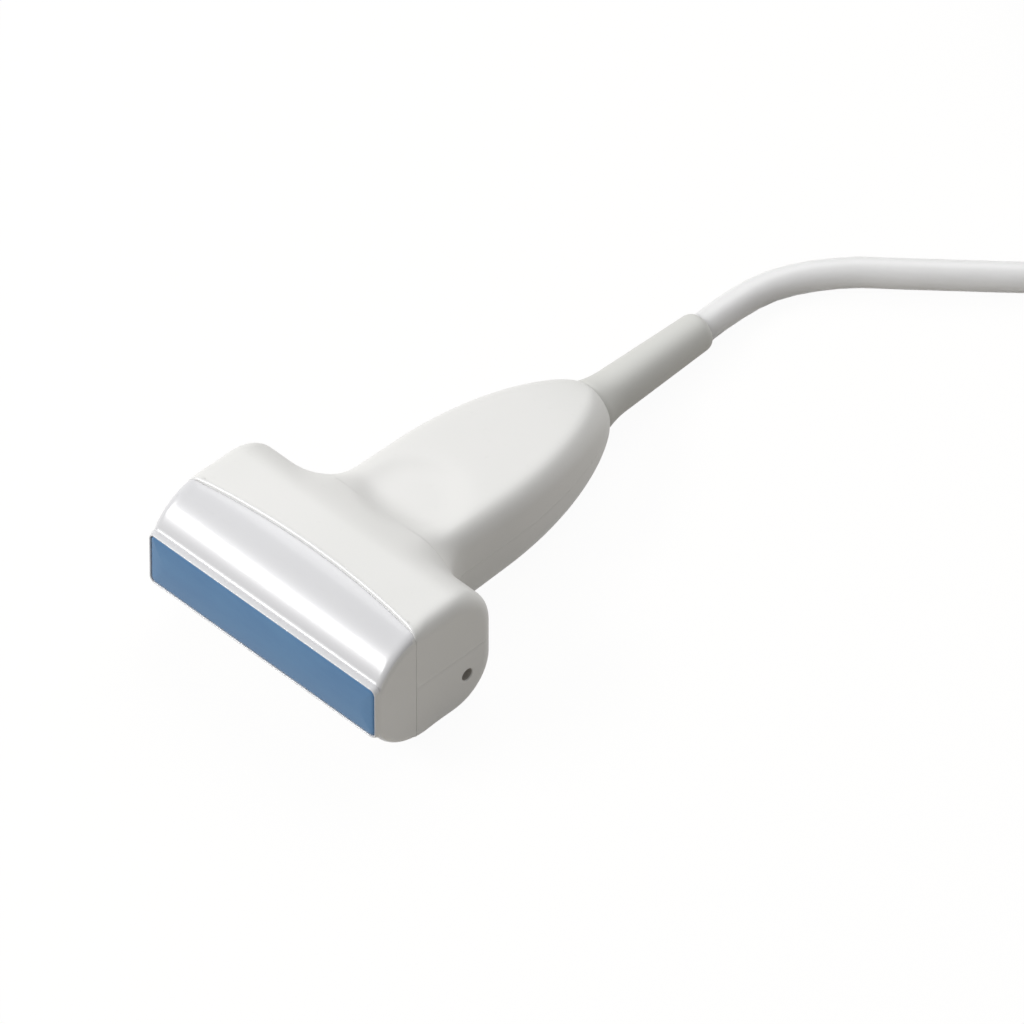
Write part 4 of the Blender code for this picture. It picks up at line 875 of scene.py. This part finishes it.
stem = RELIEF_LENGTH - flare - 2 * lip
for share in np.linspace(0.1, 1, 8):
    radius = RELIEF_STEM + (RELIEF_TIP_RADIUS - RELIEF_STEM) * share
    profile.append((radius, RELIEF_START + flare + stem * share))
for angle in np.radians([15, 30, 45, 60, 75, 90]):
    profile.append((BORE + lip * math.cos(angle), RELIEF_TIP - 2 * lip + 2 * lip * math.sin(angle)))
profile += [(BORE, RELIEF_TIP - 0.0006), (BORE, RELIEF_TIP - 0.004), (BORE, RELIEF_START)]
sleeve = place_mesh(spun(profile), "cable_sleeve", sleeve_rubber)
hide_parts("strain_relief")

# %% [markdown]
# Straps round the coil
#
# A hook-and-loop strap goes once round the bundle and closes on its own back. A flat band could be bent
# with a curve modifier, but its overlap has to lift off and end in a round tab. So its way round the
# bundle is worked out as a path of small steps, and a thin cross-section with soft edges is extruded
# along it. The overlap lies on the outer side, clear of the cable that runs over the top.

# %% Strap path
SECTION = Vector((MIDDLE_TURN, (COIL_BASE + COIL_TOP) / 2))
STRAP_WIDTH, STRAP_THICK = 0.0110, 0.0009
HALF_WAY, CORNER = 0.01005, 0.0036
BEGINS, LAP_BELOW_CORNER, LAP_ENDS, LIFT_RUN = 0.0015, 0.001, -0.0065, 0.0035


def strap_path():
    """Points of (outward, up) round the bundle, with how far each is lifted off it."""
    flat = HALF_WAY - CORNER
    lap = flat - LAP_BELOW_CORNER
    steps = [(HALF_WAY, z, 0.0) for z in np.linspace(BEGINS, -flat, 5)]
    for sx, sz, first in ((1, -1, 0), (-1, -1, -90), (-1, 1, -180), (1, 1, -270)):
        for a in np.radians(np.linspace(first, first - 90, 7)):
            steps.append((sx * flat + CORNER * math.cos(a), sz * flat + CORNER * math.sin(a), 0.0))
    for z in np.linspace(lap, LAP_ENDS, 12):
        steps.append((HALF_WAY, z, smooth((lap - z) / LIFT_RUN)))
    return steps


print("steps round the bundle:", len(strap_path()))

# %% Straps
TAB_ROUND, TAB_TIP, LIFT_GAP = 0.0035, 0.04, 0.0001
SECTION_POINTS, FLAT_FACES, SOFT_EDGES = 16, 0.35, 0.6


def strap(name, degrees):
    """A strap at an angle round the coil, extruded along its path."""
    path = strap_path()
    out = Vector((math.cos(math.radians(degrees)), math.sin(math.radians(degrees)), 0))
    side = Vector((-out.y, out.x, 0))
    rings = []
    for i, (outward, up, lift) in enumerate(path):
        ahead, behind = path[min(i + 1, len(path) - 1)], path[max(i - 1, 0)]
        along = Vector((ahead[0] - behind[0], ahead[1] - behind[1])).normalized()
        normal = Vector((-along.y, along.x))
        if normal.dot(Vector((outward, up))) < 0:
            normal = -normal
        to_end = sum((Vector(a[:2]) - Vector(b[:2])).length for a, b in zip(path[i:], path[i + 1:]))
        narrow = math.sqrt(max(TAB_TIP, 1 - max(0.0, 1 - to_end / TAB_ROUND) ** 2))
        loop = []
        for k in range(SECTION_POINTS):
            a = 2 * math.pi * (k + 0.5) / SECTION_POINTS
            wide = abs(math.cos(a)) ** FLAT_FACES * math.copysign(1, math.cos(a)) * STRAP_WIDTH / 2 * narrow
            thick = abs(math.sin(a)) ** SOFT_EDGES * math.copysign(1, math.sin(a)) * STRAP_THICK / 2
            at = Vector((outward, up)) + normal * (thick + lift * (STRAP_THICK + LIFT_GAP))
            flat = COIL_CENTRE + out * (SECTION.x + at.x) + side * wide
            loop.append((flat.x, flat.y, SECTION.y + at.y))
        rings.append(loop)
    return place_mesh(skin(rings, closed=False), name, loop_tape, sharp=50.0, move=Matrix.Identity(4))


for name, node, degrees in (("back_strap", "coil_tie_back", 63), ("front_strap", "coil_tie_front", 243)):
    made = strap(name, degrees)
    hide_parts(node)

# %% [markdown]
# Connector shells
#
# The system connector is two clam shells held by four screws. Each starts as a box: the upright edges are
# rounded widely, then the outer rim, then the parting edge just a hair. It is hollowed, opened for the
# contacts and for the sleeve, and finger grooves are taken out of its sides with a row of thin rods.

# %% Boxes, rods and screw places
CONNECTOR_LENGTH, CONNECTOR_WIDTH, CONNECTOR_HALF = 0.0460, 0.0340, 0.0082
AT_CONNECTOR = Matrix.Translation(CONNECTOR)
ALONG_CABLE = AT_CONNECTOR @ Matrix.Rotation(-math.pi / 2, 4, "Z")
SCREW_ROWS = ((-0.008, "rear"), (-0.030, "front"))
SCREW_SIDES = ((-0.012, "left"), (0.012, "right"))
SCREWS = {(x, y): f"connector_screw_{end}_{hand}" for x, end in SCREW_ROWS for y, hand in SCREW_SIDES}


def box(low, high, move=AT_CONNECTOR):
    edit = bmesh.new()
    bmesh.ops.create_cube(edit, size=1)
    bmesh.ops.scale(edit, vec=[b - a for a, b in zip(low, high)], verts=edit.verts)
    bmesh.ops.translate(edit, vec=[(a + b) / 2 for a, b in zip(low, high)], verts=edit.verts)
    bmesh.ops.transform(edit, matrix=move, verts=edit.verts)
    return edit


def rods(places, radius, low, high):
    """Upright rods at the given places, in one mesh."""
    edit = bmesh.new()
    for x, y in places:
        at = AT_CONNECTOR @ Matrix.Translation((x, y, (low + high) / 2))
        bmesh.ops.create_cone(edit, cap_ends=True, segments=24, radius1=radius, radius2=radius,
                              depth=high - low, matrix=at)
    return edit


print("screws:", sorted(SCREWS.values()))


# %% Blanks for the clam shells
UPRIGHT_ROUND, RIM_ROUND, MEETING_ROUND, MEETING_GAP = 0.0050, 0.0022, 0.00018, 0.00003
NEARLY, CLAM_SHARP = 0.0001, 35.0


def clam_blank(name, side):
    """Half of the connector's box, still solid, with its edges rounded."""
    edit = box((-CONNECTOR_LENGTH, -CONNECTOR_WIDTH / 2, MEETING_GAP),
               (0, CONNECTOR_WIDTH / 2, CONNECTOR_HALF), Matrix.Scale(side, 4, (0, 0, 1)))
    upright = [e for e in edit.edges if abs(e.verts[0].co.z - e.verts[1].co.z) > 0.001]
    round_edges(edit, upright, UPRIGHT_ROUND, 10)
    rim = [e for e in edit.edges if all(abs(v.co.z) > CONNECTOR_HALF - NEARLY for v in e.verts)]
    round_edges(edit, rim, RIM_ROUND, 7)
    meeting = [e for e in edit.edges if all(abs(v.co.z) < NEARLY for v in e.verts)]
    round_edges(edit, meeting, MEETING_ROUND, 2)
    return place_mesh(edit, name, connector_shell, sharp=CLAM_SHARP, move=AT_CONNECTOR)


cover = clam_blank("connector_cover", 1)
base = clam_blank("connector_base", -1)

# %% Hollow and openings
CLAM_WALL, CLAM_SIDE_WALL, PAST_MEETING = 0.0018, 0.0030, 0.0010
WINDOW_SIDE, WINDOW_UP, WINDOW_REACH = 0.0122, 0.0053, 0.004
SLEEVE_HOLE, HOLE_REACH = 0.0042, 0.004


def open_up(clam, side):
    """Hollows a clam shell and opens it for the contacts and for the sleeve."""
    floor, roof = sorted((-side * PAST_MEETING, side * (CONNECTOR_HALF - CLAM_WALL)))
    hollow = box((-CONNECTOR_LENGTH + CLAM_WALL, -CONNECTOR_WIDTH / 2 + CLAM_SIDE_WALL, floor),
                 (-CLAM_WALL, CONNECTOR_WIDTH / 2 - CLAM_SIDE_WALL, roof))
    take_away(clam, hollow, CLAM_SHARP)
    window = box((-CONNECTOR_LENGTH - WINDOW_REACH, -WINDOW_SIDE, -WINDOW_UP),
                 (-CONNECTOR_LENGTH + WINDOW_REACH, WINDOW_SIDE, WINDOW_UP))
    take_away(clam, window, CLAM_SHARP)
    hole = [(0.0, -HOLE_REACH), (SLEEVE_HOLE, -HOLE_REACH), (SLEEVE_HOLE, HOLE_REACH), (0.0, HOLE_REACH)]
    hole = spun(hole, steps=48, closed=False)
    bmesh.ops.transform(hole, matrix=ALONG_CABLE, verts=hole.verts)
    take_away(clam, hole, CLAM_SHARP)


open_up(cover, 1)
open_up(base, -1)
print("faces after the openings:", len(cover.data.polygons), len(base.data.polygons))

# %% Grooves and counterbores
GROOVES, FIRST_GROOVE, GROOVE_STEP = 6, 0.0065, 0.0022
GROOVE_RADIUS, GROOVE_OUT, GROOVE_ABOVE = 0.0009, 0.00045, 0.0012
HEAD_SUNK, COUNTERBORE = 0.0009, 0.00235


def groove(clam, side):
    """Takes a row of finger grooves out of both sides of a clam shell."""
    out = CONNECTOR_WIDTH / 2 + GROOVE_OUT
    places = [(-FIRST_GROOVE - GROOVE_STEP * i, y) for i in range(GROOVES) for y in (-out, out)]
    low, high = sorted((side * GROOVE_ABOVE, side * (CONNECTOR_HALF - CLAM_WALL)))
    take_away(clam, rods(places, GROOVE_RADIUS, low, high), CLAM_SHARP)


groove(cover, 1)
groove(base, -1)
take_away(cover, rods(SCREWS, COUNTERBORE, CONNECTOR_HALF - HEAD_SUNK, CONNECTOR_HALF + 0.001), CLAM_SHARP)
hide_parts("connector_upper_shell")
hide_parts("connector_lower_shell")
print("faces when done:", len(cover.data.polygons), len(base.data.polygons))

# %% [markdown]
# Zinc-plated and gold-plated metal
#
# The screws and the cable clamp are steel with a bright zinc plating. Zinc shows faint cloudy crystals a
# millimetre or two across and dulls unevenly, so both its tone and its gloss follow a cell pattern.
# Contacts are gold over nickel: warm, even and fairly smooth, with hair-fine wipe marks. A metal keeps
# the default index.

# %% Plated metals
def plated(name, bright, dull, rough, cell_mm, scratch=(1.0, 1.0, 1.0)):
    made, tree, place = new_material(name)
    cells = add(tree, "ShaderNodeTexVoronoi", Vector=place, Scale=PER_MM / cell_mm)
    cloud = add(tree, "ShaderNodeTexNoise", Vector=place, Scale=PER_MM / (2 * cell_mm), Detail=4.0)
    mixed = add(tree, "ShaderNodeMix", RGBA, i0=cloud.outputs["Fac"], i6=linear(bright), i7=linear(dull))
    tone = add(tree, "ShaderNodeMix", RGBA, i0=0.12, i6=mixed.outputs[2], i7=cells.outputs["Color"])
    along = add(tree, "ShaderNodeMapping", Vector=place, Scale=scratch)
    hairs = add(tree, "ShaderNodeTexNoise", Vector=along.outputs[0], Scale=PER_MM / 0.4, Detail=3.0)
    gloss = add(tree, "ShaderNodeMapRange", Value=cloud.outputs["Fac"], From_Min=0.3, From_Max=0.7,
                To_Min=rough - 0.05, To_Max=rough + 0.08)
    bump = add(tree, "ShaderNodeBump", Height=hairs.outputs["Fac"], Distance=0.000004, Strength=1.0)
    shader = add(tree, "ShaderNodeBsdfPrincipled", Base_Color=tone.outputs[2], Roughness=gloss.outputs[0],
                 Normal=bump.outputs[0], Metallic=1.0)
    close(tree, shader)
    return made


zinc_steel = plated("zinc_plated_steel", "C3C6C9", "A4A8AC", 0.32, 1.2)
tinplate = plated("pressed_tinplate", "CED1D3", "B4B8BB", 0.28, 3.0, (1.0, 0.08, 1.0))
gold_plate = plated("gold_over_nickel", "E3C178", "CFAA5C", 0.24, 0.8, (0.1, 1.0, 1.0))

# %% [markdown]
# Screws
#
# Pan-head screws with a hexagon socket sit in the cover's counterbores. The head is a spun cap whose
# middle is left open; a six-sided loop is bridged to that opening, extruded down and closed, which makes
# the socket.

# %% Connector screws
HEAD_RADIUS, SHANK_RADIUS, SHANK_END = 0.0022, 0.0012, -0.0036
HEXAGON_MOUTH, HEXAGON_RADIUS, HEXAGON_DEPTH = 0.0011, 0.0009, 0.0007


def cover_screw(node, x, y):
    top, seat = CONNECTOR_HALF, CONNECTOR_HALF - HEAD_SUNK
    profile = [(SHANK_RADIUS, SHANK_END), (SHANK_RADIUS, seat), (HEAD_RADIUS - 0.0001, seat)]
    profile += [(HEAD_RADIUS, seat + 0.0001), (HEAD_RADIUS, top - 0.0003)]
    profile += [(HEAD_RADIUS - 0.0001, top - 0.00012), (HEAD_RADIUS - 0.0003, top), (HEXAGON_MOUTH, top)]
    edit = spun(profile, steps=30, axis=(0, 0, 1), closed=False)
    rim = [e for e in edit.edges if e.is_boundary and all(v.co.z > seat for v in e.verts)]
    at = Matrix.Translation((0, 0, top - 0.0001))
    socket = bmesh.ops.create_circle(edit, segments=6, radius=HEXAGON_RADIUS, matrix=at)
    hexagon = list({e for v in socket["verts"] for e in v.link_edges})
    bmesh.ops.bridge_loops(edit, edges=rim + hexagon)
    down = bmesh.ops.extrude_edge_only(edit, edges=hexagon)["geom"]
    bottom = [v for v in down if isinstance(v, bmesh.types.BMVert)]
    bmesh.ops.translate(edit, vec=(0, 0, -HEXAGON_DEPTH), verts=bottom)
    bmesh.ops.holes_fill(edit, edges=[e for e in edit.edges if e.is_boundary], sides=0)
    made = place_mesh(edit, node.replace("connector_screw", "cover_screw"), zinc_steel, sharp=30.0,
                      move=AT_CONNECTOR @ Matrix.Translation((x, y, 0)))
    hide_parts(node)
    return made


cover_screws = [cover_screw(node, x, y) for (x, y), node in SCREWS.items()]

# %% [markdown]
# Connector sleeve and contacts
#
# The connector's own sleeve is ringed with grooves, so that it bends more the nearer it is to its tip.
# The contact block is a dark glass-filled resin with a slot across its face, and a row of gold-plated
# springs on each wall of the slot. The springs are one small bent strip, made many times over in one
# mesh.

# %% Connector sleeve
RIBS, FIRST_RIB, RIB_STEP = 5, 0.0026, 0.0021
RIB_RADIUS, RIB_TAPER, RIB_DEEP = 0.0049, 0.00012, 0.0006
profile = [(BORE, -0.0042), (0.0055, -0.0042), (0.0055, -0.0022), (0.0040, -0.0022), (0.0040, 0.0003)]
profile += [(0.0050, 0.0003), (0.0052, 0.0006), (0.0052, 0.0014), (0.0050, 0.0018)]
for i in range(RIBS):
    at, reach = FIRST_RIB + RIB_STEP * i, RIB_RADIUS - RIB_TAPER * i
    profile += [(reach - RIB_DEEP, at), (reach - RIB_DEEP, at + 0.0005)]
    profile += [(reach, at + 0.0008), (reach - 0.00003, at + 0.0018)]
profile += [(0.00415, 0.0138), (0.0041, 0.0145), (0.0038, 0.0149), (0.0034, 0.0150)]
profile += [(BORE, 0.0150), (BORE, 0.0060)]
connector_sleeve = place_mesh(spun(profile, steps=48), "connector_sleeve", sleeve_rubber, sharp=45.0,
                              move=ALONG_CABLE)
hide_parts("connector_relief")

# %% Contact block
BLOCK_FRONT, BLOCK_BACK, BLOCK_SIDE, BLOCK_UP = -0.0500, -0.0370, 0.0120, 0.00508
SLOT_FRONT, SLOT_BACK, SLOT_SIDE, SLOT_UP = -0.0510, -0.0450, 0.0090, 0.0011
AS_DRAWN = Matrix.Identity(4)
edit = box((BLOCK_FRONT, -BLOCK_SIDE, -BLOCK_UP), (BLOCK_BACK, BLOCK_SIDE, BLOCK_UP), AS_DRAWN)
round_edges(edit, edit.edges[:], 0.0006, 4)
contact_block = place_mesh(edit, "contact_block", contact_resin, sharp=CLAM_SHARP, move=AT_CONNECTOR)
slot = box((SLOT_FRONT, -SLOT_SIDE, -SLOT_UP), (SLOT_BACK, SLOT_SIDE, SLOT_UP))
take_away(contact_block, slot, CLAM_SHARP)
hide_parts("connector_contact_block")

# %% Contact springs
SPRINGS, FIRST_SPRING, SPRING_PITCH = 26, -0.0085, 0.00068
SPRING_FRONT, SPRING_BACK, SPRING_HALF, SPRING_THICK = -0.0494, -0.0452, 0.0002, 0.00018
BOW_AT, BOW_REACH, BOW_HEIGHT, SPRING_SEAT = 0.0478, 0.0016, 0.00028, 0.00108
edit = bmesh.new()
for number in range(SPRINGS):
    y = FIRST_SPRING + SPRING_PITCH * number
    for side in (-1, 1):
        leaf = box((SPRING_FRONT, y - SPRING_HALF, 0.0),
                   (SPRING_BACK, y + SPRING_HALF, SPRING_THICK), AS_DRAWN)
        lengthwise = [e for e in leaf.edges if abs(e.verts[0].co.x - e.verts[1].co.x) > 0.001]
        bmesh.ops.subdivide_edges(leaf, edges=lengthwise, cuts=4)
        for v in leaf.verts:
            bow = BOW_HEIGHT * smooth(1 - abs(v.co.x + BOW_AT) / BOW_REACH)
            v.co.z = side * (SPRING_SEAT - v.co.z - bow)
        piece = bpy.data.meshes.new("spring")
        leaf.to_mesh(piece)
        leaf.free()
        edit.from_mesh(piece)
        bpy.data.meshes.remove(piece)
contact_springs = place_mesh(edit, "contact_springs", gold_plate, sharp=30.0, move=AT_CONNECTOR)

# %% [markdown]
# Inside the probe
#
# Nothing inside shows until the halves are opened, but each CAD piece there still gets the finish of its
# real material: green solder mask with fine traces, amber polyimide film with copper lines, a sawn
# ceramic, cast and filled resins, and a fan of thin insulated cores. Two recipes cover them: a cast or
# ground solid with flecks in it, and a surface with parallel lines.

# %% Flecked solids
def flecked(name, base, fleck, rough, fleck_mm, share=0.5):
    made, tree, place = new_material(name)
    grains = add(tree, "ShaderNodeTexVoronoi", Vector=place, Scale=PER_MM / fleck_mm)
    flow = add(tree, "ShaderNodeTexNoise", Vector=place, Scale=PER_MM / (8 * fleck_mm), Detail=4.0)
    tone = add(tree, "ShaderNodeMapRange", Value=grains.outputs["Distance"], From_Min=0.1, From_Max=0.9,
               To_Max=share)
    colour = add(tree, "ShaderNodeMix", RGBA, i0=tone.outputs[0], i6=linear(base), i7=linear(fleck))
    gloss = add(tree, "ShaderNodeMapRange", Value=flow.outputs["Fac"], To_Min=rough - 0.08,
                To_Max=rough + 0.08)
    bump = add(tree, "ShaderNodeBump", Height=grains.outputs["Distance"], Distance=0.00001, Strength=1.0)
    shader = add(tree, "ShaderNodeBsdfPrincipled", Base_Color=colour.outputs[2], Roughness=gloss.outputs[0],
                 Normal=bump.outputs[0])
    close(tree, shader)
    return made


# %% Lined surfaces
BAND_SCALE = 314.16


def lined(name, base, line_colour, rough, pitch_mm, width=0.5, metal=0.0, direction="X"):
    """Parallel lines. A wave texture of this scale has one band to a millimetre."""
    made, tree, place = new_material(name)
    waves = add(tree, "ShaderNodeTexWave", {"bands_direction": direction}, Vector=place,
                Scale=BAND_SCALE / pitch_mm, Distortion=0.4, Detail=1.0, Detail_Scale=0.2)
    rule = add(tree, "ShaderNodeMapRange", Value=waves.outputs["Fac"], From_Min=width, From_Max=width + 0.12)
    blotch = add(tree, "ShaderNodeTexNoise", Vector=place, Scale=PER_MM / 6.0, Detail=3.0)
    deep = add(tree, "ShaderNodeMapRange", Value=blotch.outputs["Fac"], To_Min=rough - 0.06,
               To_Max=rough + 0.06)
    colour = add(tree, "ShaderNodeMix", RGBA, i0=rule.outputs[0], i6=linear(base), i7=linear(line_colour))
    metallic = add(tree, "ShaderNodeMath", {"operation": "MULTIPLY"}, i0=rule.outputs[0], i1=metal)
    bump = add(tree, "ShaderNodeBump", Height=rule.outputs[0], Distance=0.00002, Strength=1.0)
    shader = add(tree, "ShaderNodeBsdfPrincipled", Base_Color=colour.outputs[2], Roughness=deep.outputs[0],
                 Metallic=metallic.outputs[0], Normal=bump.outputs[0])
    close(tree, shader)
    return made


# %% Dress the CAD pieces
FINISHES = {
    "filled_epoxy": flecked("filled_epoxy", "7A6A55", "94826A", 0.55, 0.25),
    "graphite": flecked("ground_graphite", "37373A", "55565A", 0.42, 0.20),
    "piezo_ceramic": flecked("sawn_ceramic", "B9A98A", "CBBE9F", 0.50, 0.15),
    "loaded_epoxy": flecked("tungsten_loaded_epoxy", "2B2C30", "4A4C52", 0.65, 0.30),
    "carrier_resin": flecked("glass_filled_resin", "C6C1B1", "D6D2C4", 0.50, 0.40, 0.3),
    "polyimide": lined("polyimide_with_copper", "A9651F", "C9802F", 0.34, 0.5, metal=0.4),
    "connector_resin": flecked("white_lcp", "DED9CC", "E8E4D9", 0.48, 0.40, 0.3),
    "circuit_board": lined("solder_mask_board", "1E5639", "2F7350", 0.40, 0.8, direction="Y"),
    "core_bundle": lined("insulated_cores", "B98A35", "DDC27A", 0.45, 0.4, 0.35),
    "tinned_steel": tinplate, "clamp_steel": zinc_steel, "satin_housing": satin_white,
    "gloss_housing": polished_white, "lens_silicone": lens_silicone, "cable_jacket": jacket,
    "relief_elastomer": sleeve_rubber, "tie_strap": loop_tape, "connector_housing": connector_shell,
    "contact_resin": contact_resin,
}
for part in frame["record"]["subparts"]:
    for slot in frame["nodes"][part["node"]].material_slots:
        slot.material = FINISHES[part["material_slot"]]
cable.data.materials.append(jacket)
print("slots dressed:", len(FINISHES))

# %% [markdown]
# Studio
#
# The photograph is a plain catalogue picture: a white table, one broad lamp high on the left that lays a
# long white band along the nose, soft light from above, and little light from the right, so that the flat
# end and the side of the handle fall into a warm grey. The table is white to the camera but mid grey to
# the light that bounces off it, which keeps those sides dark.

# %% Table
SHOWN_WHITE, PAPER_GLOW = 0.90, 1.06
ground = bmesh.new()
bmesh.ops.create_grid(ground, x_segments=1, y_segments=1, size=4.0)
sheet = bpy.data.meshes.new("table_top")
ground.to_mesh(sheet)
ground.free()
table = bpy.data.objects.new("table_top", sheet)
bpy.context.scene.collection.objects.link(table)
paper, tree, place = new_material("white_paper_sweep")
rays = add(tree, "ShaderNodeLightPath")
seen = add(tree, "ShaderNodeMath", {"operation": "ADD", "use_clamp": True}, i0=rays.outputs["Is Camera Ray"],
           i1=rays.outputs["Is Glossy Ray"])
seen = add(tree, "ShaderNodeMath", {"operation": "ADD", "use_clamp": True}, i0=seen.outputs[0],
           i1=rays.outputs["Is Transmission Ray"])
share = add(tree, "ShaderNodeMath", {"operation": "MULTIPLY"}, i0=seen.outputs[0], i1=SHOWN_WHITE)
matt = add(tree, "ShaderNodeBsdfDiffuse", Color=linear("B9B4AC"))
glow = add(tree, "ShaderNodeEmission", Color=(1, 1, 1, 1), Strength=PAPER_GLOW)
mixed = add(tree, "ShaderNodeMixShader", i0=share.outputs[0], i1=matt.outputs[0], i2=glow.outputs[0])
close(tree, mixed)
sheet.materials.append(paper)


# %% Softboxes
def lamp(name, direction, distance, size, power, colour="FFFFFF"):
    """A softbox that faces the probe from a direction given in the world's axes."""
    data = bpy.data.lights.new(name, "AREA")
    data.shape = "RECTANGLE"
    data.size, data.size_y = size
    data.energy = power
    data.color = linear(colour)[:3]
    made = bpy.data.objects.new(name, data)
    bpy.context.scene.collection.objects.link(made)
    away = Vector(direction).normalized()
    made.location = Vector((0.0, -0.03, 0.02)) + away * distance
    made.rotation_euler = away.to_track_quat("Z", "Y").to_euler()
    return made


lamp("key_softbox", (-0.504, -0.590, 0.630), 1.0, (0.60, 0.25), 6.6)
lamp("overhead_softbox", (-0.35, 0.85, 1.0), 1.5, (1.3, 1.0), 11.4)

# %% World
world = bpy.data.worlds.new("white_room")
bpy.context.scene.world = world
world.use_nodes = True
tree = world.node_tree
tree.nodes.clear()
rays = add(tree, "ShaderNodeLightPath")
room = add(tree, "ShaderNodeBackground", Color=linear("FFFFFF"), Strength=0.30)
white = add(tree, "ShaderNodeBackground", Color=(1, 1, 1, 1), Strength=1.0)
both = add(tree, "ShaderNodeMixShader", i0=rays.outputs["Is Camera Ray"], i1=room.outputs[0],
           i2=white.outputs[0])
add(tree, "ShaderNodeOutputWorld", Surface=both.outputs[0])
bpy.context.scene.view_settings.view_transform = "Standard"

# %% [markdown]
# Last measures
#
# The pieces that hang on the cable's far end are gathered in one list.

# %% Finish
on_the_end = [cover, base, contact_block, contact_springs, connector_sleeve]
on_the_end += [frame["nodes"]["connector_board"], *cover_screws]
on_the_end += [bpy.data.objects["back_strap"], bpy.data.objects["front_strap"]]
bpy.context.view_layer.update()
